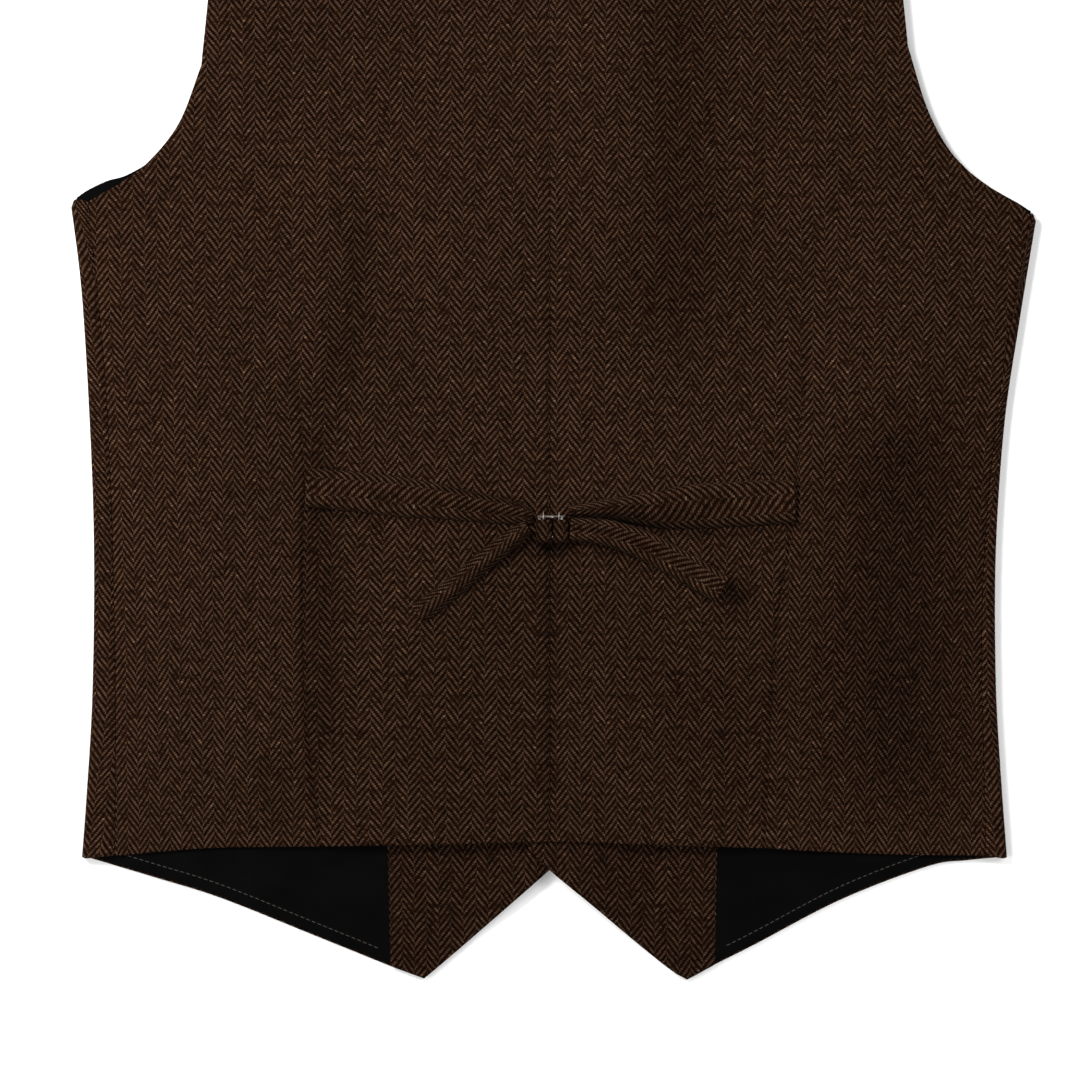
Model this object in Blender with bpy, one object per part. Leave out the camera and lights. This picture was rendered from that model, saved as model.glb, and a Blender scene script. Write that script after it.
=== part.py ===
"""Suit waistcoat laid flat on its buttoned fronts, with its back panels up.

The cloth is modelled in millimetres in the garment's own frame and turned into metres when each mesh is
made: x runs to the wearer's right from the centre back seam, y runs up from the back hem and z runs up
from the surface that the fronts lie on. "Out" is the distance from the centre back seam towards the side
of one half, so both halves share the same tables and functions.
"""

import math

import bmesh
import bpy
import numpy as np

# Place of the garment's own frame, so that the origin is below the middle of the finished part.
SHIFT_X = -2.0
SHIFT_Y = -284.4
METRE = 0.001

# Cloth and gaps.
CLOTH = 1.2
LINING = 1.0
GAP = 0.3
INLAY = CLOTH + GAP
EDGE_TO_LINING = 1.3
EDGE_TO_FACING = 0.5

# Levels of the outer face of the back: over the folds at the sides, and over the buttoned fronts.
SIDE_TOP = 4.6
CENTRE_TOP = 10.0
FOLD_RADIUS = SIDE_TOP / 2
CROWN_REACH = 170.0
OVERLAP_TOP_Y = 360.0
CROWN_END_Y = 470.0

# Front fastening: the left front lies outside, so below the right one.
CENTRE_FRONT_X = 1.0
BUTTON_HEIGHT = 2.4
BUTTON_COUNT = 5
BUTTON_FIRST_Y = 24.0
BUTTON_PITCH = 70.0
FRONT_LIFT = {"left": BUTTON_HEIGHT + GAP, "right": BUTTON_HEIGHT + 3 * GAP + CLOTH + LINING + 0.1}
LIFT_FLAT = 16.0
LIFT_END = {"left": 45.0, "right": 55.0}
LIFT_END_Y = 420.0

# Back darts and shoulder seams.
DART_HALF = 2.5
DART_DEPTH = 0.45
DART_TOP_Y = 280.0
DART_FADE = 18.0
DART_SHOULDER_OUT = 132.0
SHOULDER_BACK = 12.0

# Cells of each stretch of a panel.
ROWS_SIDE = 9
ROWS_UNDERARM = 5
ROWS_ARMHOLE = 4
FOLD_CELLS = 4
DART_COLUMN = 6
FACING_COLUMN = 6

# Places on the plan that the grid lines pass through, and cells between them.
CHEST_Y = 345
ARMHOLE_MIDDLE_Y = 515
ARMHOLE_CURVE_BACK = 1.5
ARMHOLE_CURVE_FRONT = 0.5
NECK_MIDDLE_OUT = 45
NECK_RISE = 2.5
POINT_CHEST_Y = 326
POINT_SHOULDER_OUT = 118
SIDES = {"left": -1, "right": 1}

# Lines of each half, from the hem up or from the middle out: (out, y).
SIDE_FOLD = {
    "left": [(252.5, -1), (250, 33), (247, 85), (246, 153), (247.5, 215), (252.5, 301), (259, 351)],
    "right": [(246.5, -1), (243, 47), (240.5, 95), (240.5, 163), (245, 231), (252.5, 283), (263, 344)],
}
SIDE_SEAM = {
    "left": [(234.5, 0), (234.5, 110), (239, 245), (249, 352.5)],
    "right": [(235, 0), (233, 137), (242, 245), (259, 345)],
}
FRONT_UNDERARM = {
    "left": [(256.7, 355), (249, 359.3), (239, 364), (227.5, 367.5), (211, 378.5), (198, 398), (187, 426)],
    "right": [(260.7, 347.5), (253.5, 351.5), (241, 358.5), (230, 365.5), (210, 387), (199, 410), (192, 436)],
}
BACK_UNDERARM = {
    "left": [(242.5, 356.4), (231, 363), (216.5, 374), (200, 395), (188, 426)],
    "right": [(253, 350.5), (240.5, 358), (219.5, 375), (204.5, 400), (193, 436)],
}
SHOULDER_TIP = {"left": (178, 590), "right": (184, 590)}
NECK_POINT = (88, 636)
NECK_BACK_Y = 610.0
BACK_HEM = {
    "left": [(0, 8), (71, 6), (123, 5)],
    "right": [(0, 8), (60, 6), (116, 4)],
}
BACK_HEM_OUTER = {
    "left": [(123, 5), (178, 4.3), (205, 2.5), (234.5, 0)],
    "right": [(116, 4), (150, 2), (190, 0.5), (235, 0)],
}
DART = {
    "left": [(123, 5), (132, 84), (133, 171), (132, 209), (137.5, 280), (142, 352)],
    "right": [(116, 4), (122, 116), (131.5, 180), (135.5, 230), (141, 280), (147, 350)],
}
FRONT_EDGE = {"left": -13.5, "right": -11.5}
FRONT_CORNER_Y = 4.0
NECKLINE_Y = 315.0
NECKLINE = [(0, 350), (31, 440), (62, 540)]
FRONT_HEM = {
    "left": [(0, -7.5), (31, -34.8), (50, -51.3), (68, -66.6)],
    "right": [(0, -7.8), (21.6, -25.7), (45, -45.7), (66, -62.5), (74, -67.2)],
}
FACING_HEM = {"left": (86, -60), "right": (89, -59)}
FRONT_HEM_OUTER = {
    "left": [(128, -43), (178, -23), (215, -11.5)],
    "right": [(111, -48), (157, -24), (204, -6), (225, -2.8)],
}
FACING_CHEST = (97, 330)
FACING_SHOULDER_OUT = 132.0

# Straps of the back belt: x, y of the middle, width, height of the underside above the cloth, thickness.
STRAPS = {
    "strap_left": [
        (-131, 198.5, 21, 0.0, 1.6),
        (-106, 196.2, 21.3, 0.0, 1.6),
        (-81, 193.3, 21.5, 0.1, 1.6),
        (-54, 189.9, 17.7, 0.1, 1.7),
        (-27, 185.8, 14, 0.0, 1.8),
        (-12, 183.4, 9.5, 0.0, 1.8),
        (-9.3, 183.2, 8, 0.0, 1.8),
    ],
    "strap_right": [
        (132, 190.9, 23.2, 0.0, 1.6),
        (108, 190, 24, 0.0, 1.6),
        (78, 188, 24, 0.1, 1.6),
        (57, 186.3, 20, 0.1, 1.7),
        (36, 186.5, 13, 0.0, 1.8),
        (16, 185, 8.5, 0.0, 1.8),
        (10.1, 184.6, 7, 0.0, 1.8),
    ],
    "tail_left": [
        (-11.9, 177.2, 8, 2.2, 1.6),
        (-22, 169.6, 10.5, 2.2, 1.8),
        (-38, 156.8, 11, 0.6, 1.8),
        (-54, 143, 11, 0.0, 1.8),
        (-71.2, 130.3, 12, 0.4, 1.6),
    ],
    "tail_right": [
        (10.8, 176.2, 12, 2.2, 1.6),
        (31, 174, 14, 2.2, 1.6),
        (51, 167, 15.5, 1.0, 1.6),
        (67, 158.5, 16, 0.1, 1.6),
        (82, 149.8, 16, 1.0, 1.6),
        (92.8, 143.6, 16, 3.2, 1.6),
    ],
}
STRAP_GAP = 0.4

# Two-prong buckle and the cloth loops that hold it.
BUCKLE_X = (-8.0, 8.8)
BUCKLE_Y = (172.2, 182.6)
BUCKLE_BAR = 0.8
BUCKLE_CORNER = 1.2
LOOP_SPAN_X = {"loop_left": (-7.0, 1.0), "loop_right": (1.6, 9.7)}
LOOP_OPEN_Y = 181.0
LOOP_BEND_Y = 171.0
LOOP_INNER = 1.1
LOOP_LEVEL = CENTRE_TOP + GAP + CLOTH + LOOP_INNER
PRONG_X = (-3.5, 4.9)
PRONG_PATH = [(172.2, 0.0, 0.5), (180.6, 0.1, 0.5), (182.8, 1.15, 0.45), (185.2, 1.35, 0.12)]

# Button: radius and height of its turned profile, from the middle of the face that shows to its back.
BUTTON_PROFILE = [(4.9, 0.7), (5.5, 0.0), (6.8, 0.0), (7.5, 0.7), (7.5, 1.8), (6.7, 2.4)]
BUTTON_SIDES = 20
BUTTON_HOLE_RADIUS = 0.9
BUTTON_HOLE_OFFSET = 1.6

COLOURS = {
    "herringbone": ((0.031, 0.014, 0.008, 1), 0.9, 0.0),
    "facing": ((0.022, 0.0098, 0.0056, 1), 0.9, 0.0),
    "lining": ((0.0023, 0.0022, 0.0023, 1), 0.45, 0.0),
    "steel": ((0.62, 0.6, 0.56, 1), 0.3, 1.0),
    "button": ((0.02, 0.011, 0.007, 1), 0.3, 0.0),
}


def clear_scene():
    for obj in list(bpy.data.objects):
        bpy.data.objects.remove(obj, do_unlink=True)


def make_materials():
    made = {}
    for name, (colour, roughness, metallic) in COLOURS.items():
        material = bpy.data.materials.new(name)
        material.use_nodes = True
        shader = material.node_tree.nodes["Principled BSDF"]
        shader.inputs["Base Color"].default_value = colour
        shader.inputs["Roughness"].default_value = roughness
        shader.inputs["Metallic"].default_value = metallic
        made[name] = material
    return made


def ease(value, start, stop):
    """0 at start and 1 at stop, with level ends."""
    share = np.clip((value - start) / (stop - start), 0, 1)
    return share * share * (3 - 2 * share)


# ---- plan of the panels -----------------------------------------------------------------------------


def spaced(points, cells):
    """Points at even steps along a smooth line through the given ones."""
    knots = np.array(points, float)
    ends = np.vstack([2 * knots[0] - knots[1], knots, 2 * knots[-1] - knots[-2]])
    dense = [knots[0]]
    for before, a, b, after in zip(ends, ends[1:], ends[2:], ends[3:]):
        for t in np.linspace(0, 1, 13)[1:]:
            dense.append(
                a
                + 0.5 * t * (b - before)
                + t**2 * (before - 2.5 * a + 2 * b - 0.5 * after)
                + t**3 * (1.5 * (a - b) + 0.5 * (after - before))
            )
    dense = np.array(dense)
    lengths = np.concatenate([[0], np.cumsum(np.linalg.norm(np.diff(dense, axis=0), axis=1))])
    steps = np.linspace(0, lengths[-1], cells + 1)
    return np.column_stack([np.interp(steps, lengths, dense[:, axis]) for axis in (0, 1)])


def joined(*stretches):
    """One line from several that follow each other."""
    return np.vstack([stretches[0]] + [stretch[1:] for stretch in stretches[1:]])


def patch(bottom, top, start, end):
    """Columns and rows of points that fill the space between four lines."""
    across = np.linspace(0, 1, len(bottom))[:, None, None]
    up = np.linspace(0, 1, len(start))[None, :, None]
    between_ends = (1 - up) * bottom[:, None] + up * top[:, None]
    between_sides = (1 - across) * start[None] + across * end[None]
    lower = (1 - across) * bottom[0] + across * bottom[-1]
    upper = (1 - across) * top[0] + across * top[-1]
    return between_ends + between_sides - (1 - up) * lower - up * upper


def upright(lower, chest, upper_end):
    """A line with the rows of a panel: the given curve to chest height, then straight on to the shoulder."""
    above = spaced([chest, upper_end], ROWS_UNDERARM + ROWS_ARMHOLE)
    return joined(spaced(lower + [chest], ROWS_SIDE), above)


def shoulder(half, drop):
    """Neck end and arm end of the shoulder fold, moved down the panel by drop."""
    tip = SHOULDER_TIP[half]
    return np.array([(NECK_POINT[0], NECK_POINT[1] - drop), (tip[0], tip[1] - drop)], float)


def along(ends, out):
    """The point of a straight line at a distance out."""
    share = (out - ends[0][0]) / (ends[1][0] - ends[0][0])
    return tuple(ends[0] + share * (ends[1] - ends[0]))


def back_plan(half):
    """Grid of a back half: centre seam to dart, the dart itself, dart to side seam."""
    seam_out = GAP / 2
    top_edge = shoulder(half, SHOULDER_BACK + GAP / 2)
    darts = []
    for offset in (-DART_HALF, 0, DART_HALF):
        line = [(out + offset, y) for out, y in DART[half]]
        darts.append(upright(line[:-1], line[-1], along(top_edge, DART_SHOULDER_OUT + offset)))
    centre = upright([(seam_out, BACK_HEM[half][0][1])], (seam_out, CHEST_Y), (seam_out, NECK_BACK_Y))
    armhole_end = tuple(top_edge[1])
    side = [(out - GAP / 2, y) for out, y in SIDE_SEAM[half]]
    underarm = [side[-1]] + BACK_UNDERARM[half]
    middle = (SHOULDER_TIP[half][0] + ARMHOLE_CURVE_BACK, ARMHOLE_MIDDLE_Y)
    outer = joined(
        spaced(side, ROWS_SIDE),
        spaced(underarm, ROWS_UNDERARM),
        spaced([underarm[-1], middle, armhole_end], ROWS_ARMHOLE),
    )
    neck_end = tuple(top_edge[0])
    neck = spaced([tuple(centre[-1]), (NECK_MIDDLE_OUT, NECK_BACK_Y + NECK_RISE), neck_end], 3)
    inner_top = joined(neck, spaced([neck_end, tuple(darts[0][-1])], 2))
    inner_hem = spaced([tuple(centre[0])] + BACK_HEM[half][1:-1] + [tuple(darts[0][0])], DART_COLUMN - 1)
    outer_top = spaced([tuple(darts[2][-1]), armhole_end], 4)
    outer_hem = spaced([tuple(darts[2][0])] + BACK_HEM_OUTER[half][1:-1] + [tuple(outer[0])], 4)
    inside = patch(inner_hem, inner_top, centre, darts[0])
    outside = patch(outer_hem, outer_top, darts[2], outer)
    return np.concatenate([inside, darts[1][None], outside])


def front_plan(half):
    """Grid of a front: front edge to hem point, to facing line, to side fold and armhole."""
    edge_out = FRONT_EDGE[half]
    top_edge = shoulder(half, FOLD_RADIUS)
    corner, turn = (edge_out, FRONT_CORNER_Y), (edge_out, NECKLINE_Y)
    neckline = [turn] + NECKLINE + [tuple(top_edge[0])]
    edge = joined(spaced([corner, turn], ROWS_SIDE), spaced(neckline, ROWS_UNDERARM + ROWS_ARMHOLE))
    tip = FRONT_HEM[half][-1]
    point = upright([tip], (tip[0], POINT_CHEST_Y), along(top_edge, POINT_SHOULDER_OUT))
    facing_hem = FACING_HEM[half]
    facing = upright([facing_hem], FACING_CHEST, along(top_edge, FACING_SHOULDER_OUT))
    fold = [(out - FOLD_RADIUS, y) for out, y in SIDE_FOLD[half]]
    underarm = FRONT_UNDERARM[half]
    middle = (SHOULDER_TIP[half][0] + ARMHOLE_CURVE_FRONT, ARMHOLE_MIDDLE_Y)
    outer = joined(
        spaced(fold[:-1] + [underarm[0]], ROWS_SIDE),
        spaced(underarm, ROWS_UNDERARM),
        spaced([underarm[-1], middle, tuple(top_edge[1])], ROWS_ARMHOLE),
    )
    hem = spaced([corner] + FRONT_HEM[half], 5)
    hem_facing = spaced([tip, facing_hem], 1)
    hem_outer = spaced([facing_hem] + FRONT_HEM_OUTER[half] + [tuple(outer[0])], 6)
    tops = [spaced([tuple(a[-1]), tuple(b[-1])], cells)
            for a, b, cells in ((edge, point, 5), (point, facing, 1), (facing, outer, 6))]
    inside = patch(hem, tops[0], edge, point)
    strip = patch(hem_facing, tops[1], point, facing)
    outside = patch(hem_outer, tops[2], facing, outer)
    return np.concatenate([inside, strip[1:], outside[1:]])


# ---- heights ------------------------------------------------------------------------------------------


def back_level(half, plan):
    """Outer face of the back over each point of its plan."""
    out, y = plan[..., 0], plan[..., 1]
    crown = 0.5 + 0.5 * np.cos(math.pi * np.clip(np.abs(out) / CROWN_REACH, 0, 1))
    low_neck = 1 - ease(y, OVERLAP_TOP_Y, CROWN_END_Y)
    return SIDE_TOP + (CENTRE_TOP - SIDE_TOP) * crown * low_neck


def front_level(half, plan):
    """Outer face of a front, which rises over the buttons or over the other front."""
    from_button_line = np.abs(SIDES[half] * plan[..., 0] - CENTRE_FRONT_X)
    raised = 1 - ease(from_button_line, LIFT_FLAT, LIFT_END[half])
    return FRONT_LIFT[half] * raised * (1 - ease(plan[..., 1], OVERLAP_TOP_Y, LIFT_END_Y))


def with_level(plan, level):
    return np.concatenate([plan, level[..., None]], axis=2)


def pulled_in(grid, margins):
    """The grid with its four edges drawn in along its own lines: first and last column, then rows."""
    moved = grid.copy()
    for axis, (first, last) in ((0, margins[:2]), (1, margins[2:])):
        lines = np.swapaxes(moved, 0, axis)
        for edge, inner, margin in ((0, 1, first), (-1, -2, last)):
            step = lines[inner] - lines[edge]
            lines[edge] = lines[edge] + step * margin / np.linalg.norm(step, axis=-1, keepdims=True)
    return moved


# ---- meshes -------------------------------------------------------------------------------------------


def placed(half, point):
    """A point of one half, in metres in the finished part's frame."""
    side = SIDES.get(half, 1)
    return ((side * point[0] + SHIFT_X) * METRE, (point[1] + SHIFT_Y) * METRE, point[2] * METRE)


def add_object(name, mesh_data, material):
    """An object from a bmesh, with smooth faces and sharp edges."""
    mesh = bpy.data.meshes.new(name)
    mesh_data.to_mesh(mesh)
    mesh_data.free()
    mesh.shade_smooth()
    mesh.set_sharp_from_angle(angle=math.radians(40))
    mesh.materials.append(material)
    obj = bpy.data.objects.new(name, mesh)
    bpy.context.scene.collection.objects.link(obj)
    return obj


def add_sheet(name, half, grids, outside_up, thickness, material):
    """A cloth panel: its outer face from grids that share their edges, and its thickness behind it."""
    data = bmesh.new()
    turned = (SIDES[half] < 0) == outside_up
    for grid in grids:
        verts = [[data.verts.new(placed(half, point)) for point in column] for column in grid]
        for left, right in zip(verts, verts[1:]):
            for row in range(len(left) - 1):
                face = [left[row], right[row], right[row + 1], left[row + 1]]
                data.faces.new(face[::-1] if turned else face)
    bmesh.ops.remove_doubles(data, verts=data.verts, dist=0.01 * METRE)
    obj = add_object(name, data, material)
    solid = obj.modifiers.new("thickness", "SOLIDIFY")
    solid.thickness = thickness * METRE
    solid.offset = -1
    solid.use_even_offset = True
    return obj


def side_fold(half, front):
    """Rows that carry a front round its side fold and back to the side seam."""
    last = ROWS_SIDE + 1
    edge = front[-1, :last]
    columns = [edge]
    for step in range(1, FOLD_CELLS + 1):
        angle = math.pi * step / FOLD_CELLS
        turn = np.array([math.sin(angle), 0, 1 - math.cos(angle)]) * FOLD_RADIUS
        columns.append(edge + turn)
    seam_plan = spaced([(out + GAP / 2, y) for out, y in SIDE_SEAM[half]], ROWS_SIDE)
    columns.append(with_level(seam_plan[None], np.full((1, last), SIDE_TOP))[0])
    return np.array(columns)


def shoulder_fold(front):
    """Rows that carry a front over its shoulder to the seam on the back."""
    edge = front[:, -1]
    rows = [edge]
    for step in range(1, FOLD_CELLS + 1):
        angle = math.pi * step / FOLD_CELLS
        rows.append(edge + np.array([0, math.sin(angle), 1 - math.cos(angle)]) * FOLD_RADIUS)
    reach = SHOULDER_BACK - FOLD_RADIUS - GAP / 2
    rows.append(rows[-1] - np.array([0, reach, 0]))
    return np.stack(rows, axis=1)


def add_front(half, materials):
    front = front_plan(half)
    front = with_level(front, front_level(half, front))
    grids = [front, side_fold(half, front), shoulder_fold(front)]
    add_sheet(f"front_{half}", half, grids, False, CLOTH, materials["herringbone"])

    inlay = front + np.array([0, 0, INLAY])
    facing = pulled_in(inlay[: FACING_COLUMN + 1], (EDGE_TO_FACING, GAP / 2, EDGE_TO_FACING, INLAY))
    add_sheet(f"facing_{half}", half, [facing], False, LINING, materials["facing"])
    lining = pulled_in(inlay[FACING_COLUMN:], (GAP / 2, EDGE_TO_LINING, EDGE_TO_LINING, INLAY))
    add_sheet(f"lining_{half}", half, [lining], False, LINING, materials["lining"])


def add_back(half, materials):
    plan = back_plan(half)
    level = back_level(half, plan)
    faded = ease(plan[DART_COLUMN, :, 1], DART_TOP_Y - DART_FADE, DART_TOP_Y)
    level[DART_COLUMN] -= DART_DEPTH * (1 - faded)
    add_sheet(f"back_{half}", half, [with_level(plan, level)], True, CLOTH, materials["herringbone"])


def loft(name, sections, material):
    """A solid through sections of equal length, closed at both ends."""
    data = bmesh.new()
    rings = [[data.verts.new(placed(None, point)) for point in section] for section in sections]
    count = len(rings[0])
    for ring, following in zip(rings, rings[1:]):
        for k in range(count):
            n = (k + 1) % count
            data.faces.new([ring[k], ring[n], following[n], following[k]])
    data.faces.new(rings[0][::-1])
    data.faces.new(rings[-1])
    bmesh.ops.recalc_face_normals(data, faces=data.faces)
    return add_object(name, data, material)


def add_strap(name, rows, material):
    """A belt strap or its free end, lying along the back on the points under its middle line."""
    table = np.array(rows, float)
    middle = table[:, :2]
    direction = np.gradient(middle, axis=0)
    direction /= np.linalg.norm(direction, axis=1, keepdims=True)
    across = np.column_stack([-direction[:, 1], direction[:, 0]])
    sections = []
    for (x, y, width, lift, thickness), sideways in zip(rows, across):
        corners = []
        for share in (-0.5, 0.5):
            place = np.array([x, y]) + sideways * width * share
            base = back_level(None, np.array([abs(place[0]), place[1]])) + STRAP_GAP + lift
            corners.append((place[0], place[1], float(base)))
        (ax, ay, az), (bx, by, bz) = corners
        sections.append([(ax, ay, az), (bx, by, bz), (bx, by, bz + thickness), (ax, ay, az + thickness)])
    loft(name, sections, material)


def add_loop(name, ends, material):
    """A cloth loop round the buckle's lower bar, open towards its upper bar."""
    outer = LOOP_INNER + CLOTH
    turns = [math.radians(90 + 30 * step) for step in range(7)]
    bend = [(LOOP_BEND_Y + outer * math.cos(a), LOOP_LEVEL + outer * math.sin(a)) for a in turns]
    inner = [(LOOP_BEND_Y + LOOP_INNER * math.cos(a), LOOP_LEVEL + LOOP_INNER * math.sin(a)) for a in turns]
    profile = [(LOOP_OPEN_Y, LOOP_LEVEL + outer)] + bend + [(LOOP_OPEN_Y, LOOP_LEVEL - outer)]
    profile += [(LOOP_OPEN_Y, LOOP_LEVEL - LOOP_INNER)] + inner[::-1] + [(LOOP_OPEN_Y, LOOP_LEVEL + LOOP_INNER)]
    loft(name, [[(x, y, z) for y, z in profile] for x in ends], material)


def ring_points(centre, across, normal, radius, sides):
    """Points of a circle spanned by two directions."""
    turns = [2 * math.pi * k / sides for k in range(sides)]
    return [centre + radius * (math.cos(a) * across + math.sin(a) * normal) for a in turns]


def add_buckle(material):
    """A bent wire frame with two prongs that rest on its upper bar."""
    (x0, x1), (y0, y1) = BUCKLE_X, BUCKLE_Y
    bend = BUCKLE_CORNER
    centres = [(x1 - bend, y1 - bend), (x0 + bend, y1 - bend), (x0 + bend, y0 + bend), (x1 - bend, y0 + bend)]
    path = []
    for corner, (x, y) in enumerate(centres):
        for turn in (0, 45, 90):
            angle = math.radians(90 * corner + turn)
            path.append(np.array([x + bend * math.cos(angle), y + bend * math.sin(angle), LOOP_LEVEL]))
    data = bmesh.new()
    upward = np.array([0.0, 0.0, 1.0])
    rings = []
    for before, here, after in zip(path[-1:] + path, path, path[1:] + path[:1]):
        ahead = (after - before) / np.linalg.norm(after - before)
        ring = ring_points(here, np.cross(ahead, upward), upward, BUCKLE_BAR, 8)
        rings.append([data.verts.new(placed(None, point)) for point in ring])
    for ring, following in zip(rings, rings[1:] + rings[:1]):
        for k in range(8):
            n = (k + 1) % 8
            data.faces.new([ring[k], ring[n], following[n], following[k]])
    bmesh.ops.recalc_face_normals(data, faces=data.faces)
    frame = add_object("buckle", data, material)
    for count, x in enumerate(PRONG_X):
        sections = []
        for y, rise, radius in PRONG_PATH:
            centre = np.array([x, y, LOOP_LEVEL + rise])
            sections.append(ring_points(centre, np.array([1.0, 0, 0]), upward, radius, 6))
        prong = loft(f"prong_{count}", sections, material)
        prong.hide_render = True
        prong.display_type = "WIRE"
        union = frame.modifiers.new(f"prong_{count}", "BOOLEAN")
        union.operation = "UNION"
        union.object = prong
        union.solver = "EXACT"


def turned(name, profile, sides, centre, material):
    """A solid of revolution about z through centre, closed on its axis at both ends."""
    data = bmesh.new()
    x, y = centre
    rings = []
    for radius, height in profile:
        points = ring_points(np.array([x, y, height]), np.array([1.0, 0, 0]), np.array([0, 1.0, 0]), radius, sides)
        rings.append([data.verts.new(placed(None, point)) for point in points])
    for ring, following in zip(rings, rings[1:]):
        for k in range(sides):
            n = (k + 1) % sides
            data.faces.new([ring[k], ring[n], following[n], following[k]])
    data.faces.new(rings[0][::-1])
    data.faces.new(rings[-1])
    bmesh.ops.recalc_face_normals(data, faces=data.faces)
    return add_object(name, data, material)


def add_button(number, material):
    """A four-hole button that lies face down under the left front."""
    centre_y = BUTTON_FIRST_Y + (number - 1) * BUTTON_PITCH
    button = turned(f"button_{number}", BUTTON_PROFILE, BUTTON_SIDES, (CENTRE_FRONT_X, centre_y), material)
    for count in range(4):
        angle = math.radians(45 + 90 * count)
        reach = BUTTON_HOLE_OFFSET * math.sqrt(2)
        centre = (CENTRE_FRONT_X + reach * math.cos(angle), centre_y + reach * math.sin(angle))
        span = [(BUTTON_HOLE_RADIUS, -1.0), (BUTTON_HOLE_RADIUS, BUTTON_HEIGHT + 1)]
        drill = turned(f"hole_{number}_{count}", span, 6, centre, material)
        drill.hide_render = True
        drill.display_type = "WIRE"
        cut = button.modifiers.new(f"hole_{count}", "BOOLEAN")
        cut.operation = "DIFFERENCE"
        cut.object = drill
        cut.solver = "EXACT"


def main():
    clear_scene()
    materials = make_materials()
    for half in SIDES:
        add_front(half, materials)
        add_back(half, materials)
    for name, rows in STRAPS.items():
        add_strap(name, rows, materials["herringbone"])
    for name, ends in LOOP_SPAN_X.items():
        add_loop(name, ends, materials["herringbone"])
    add_buckle(materials["steel"])
    for number in range(1, BUTTON_COUNT + 1):
        add_button(number, materials["button"])


main()
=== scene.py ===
"""Suit waistcoat laid flat, back up: herringbone panels, black lining, back belt, buckle, buttons.

Lengths are millimetres in the garment's own frame until a mesh is made: "out" runs from the centre back
seam to the side of one half, y runs up from the back hem, and z runs up from the surface below.
"""

import math

import bmesh
import bpy
import numpy as np
from mathutils import Matrix, Vector


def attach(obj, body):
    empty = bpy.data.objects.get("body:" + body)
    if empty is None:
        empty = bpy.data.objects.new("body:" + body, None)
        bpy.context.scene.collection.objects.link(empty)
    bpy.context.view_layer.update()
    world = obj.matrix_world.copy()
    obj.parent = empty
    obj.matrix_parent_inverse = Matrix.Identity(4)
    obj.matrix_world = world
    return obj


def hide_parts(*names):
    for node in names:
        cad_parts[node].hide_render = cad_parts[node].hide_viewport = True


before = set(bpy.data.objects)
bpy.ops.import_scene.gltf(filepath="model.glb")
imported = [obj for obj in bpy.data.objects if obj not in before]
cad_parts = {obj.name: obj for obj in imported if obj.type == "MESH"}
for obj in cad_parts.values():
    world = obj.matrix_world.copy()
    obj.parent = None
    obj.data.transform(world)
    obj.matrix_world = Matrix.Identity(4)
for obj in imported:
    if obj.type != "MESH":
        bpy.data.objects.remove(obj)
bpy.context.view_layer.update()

SHIFT_X = -2.0
SHIFT_Y = -284.4
METRE = 0.001
# Width and length of the cloth that each panel is cut from, in metres.
CUT_SIZE = {"back": (0.25, 0.63), "front": (0.3, 0.72), "facing": (0.16, 0.71), "lining": (0.17, 0.66)}
SIDES = {"left": -1, "right": 1}

# Cloth and gaps.
CLOTH = 1.2
LINING = 1.0
GAP = 0.3
INLAY = CLOTH + GAP
EDGE_TO_LINING = 1.3
EDGE_TO_FACING = 0.5

# Levels of the outer faces.
SIDE_TOP = 4.6
CENTRE_TOP = 10.0
FOLD_RADIUS = SIDE_TOP / 2
CROWN_REACH = 170.0
OVERLAP_TOP_Y = 360.0
CROWN_END_Y = 470.0
CENTRE_FRONT_X = 1.0
BUTTON_HEIGHT = 2.4
FRONT_LIFT = {"left": BUTTON_HEIGHT + GAP, "right": BUTTON_HEIGHT + 3 * GAP + CLOTH + LINING + 0.1}
LIFT_FLAT = 16.0
LIFT_END = {"left": 45.0, "right": 55.0}
LIFT_END_Y = 420.0

# Lines of each half, from the hem up or from the middle out: (out, y).
DART_TOP_Y = 280.0
SHOULDER_BACK = 12.0
CENTRE_CHEST_Y = 345.0
ARMHOLE_MIDDLE_Y = 515.0
SIDE_FOLD = {
    "left": [(252.5, -1), (250, 33), (247, 85), (246, 153), (247.5, 215), (252.5, 301), (259, 351)],
    "right": [(246.5, -1), (243, 47), (240.5, 95), (240.5, 163), (245, 231), (252.5, 283), (263, 344)],
}
SIDE_SEAM = {
    "left": [(234.5, 0), (234.5, 110), (239, 245), (249, 352.5)],
    "right": [(235, 0), (233, 137), (242, 245), (259, 345)],
}
FRONT_UNDERARM = {
    "left": [(256.7, 355), (249, 359.3), (239, 364), (227.5, 367.5), (211, 378.5), (198, 398), (187, 426)],
    "right": [(260.7, 347.5), (253.5, 351.5), (241, 358.5), (230, 365.5), (210, 387), (199, 410), (192, 436)],
}
BACK_UNDERARM = {
    "left": [(242.5, 356.4), (231, 363), (216.5, 374), (200, 395), (188, 426)],
    "right": [(253, 350.5), (240.5, 358), (219.5, 375), (204.5, 400), (193, 436)],
}
SHOULDER_TIP = {"left": (178, 590), "right": (184, 590)}
NECK_POINT = (88, 636)
NECK_BACK_Y = 610.0
NECK_MIDDLE_OUT = 45.0
NECK_RISE = 2.5
BACK_ARMHOLE_CURVE = 1.5
FRONT_ARMHOLE_CURVE = 0.5
BACK_HEM = {
    "left": [(0, 8), (71, 6), (123, 5)],
    "right": [(0, 8), (60, 6), (116, 4)],
}
BACK_HEM_OUTER = {
    "left": [(123, 5), (178, 4.3), (205, 2.5), (234.5, 0)],
    "right": [(116, 4), (150, 2), (190, 0.5), (235, 0)],
}
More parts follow.
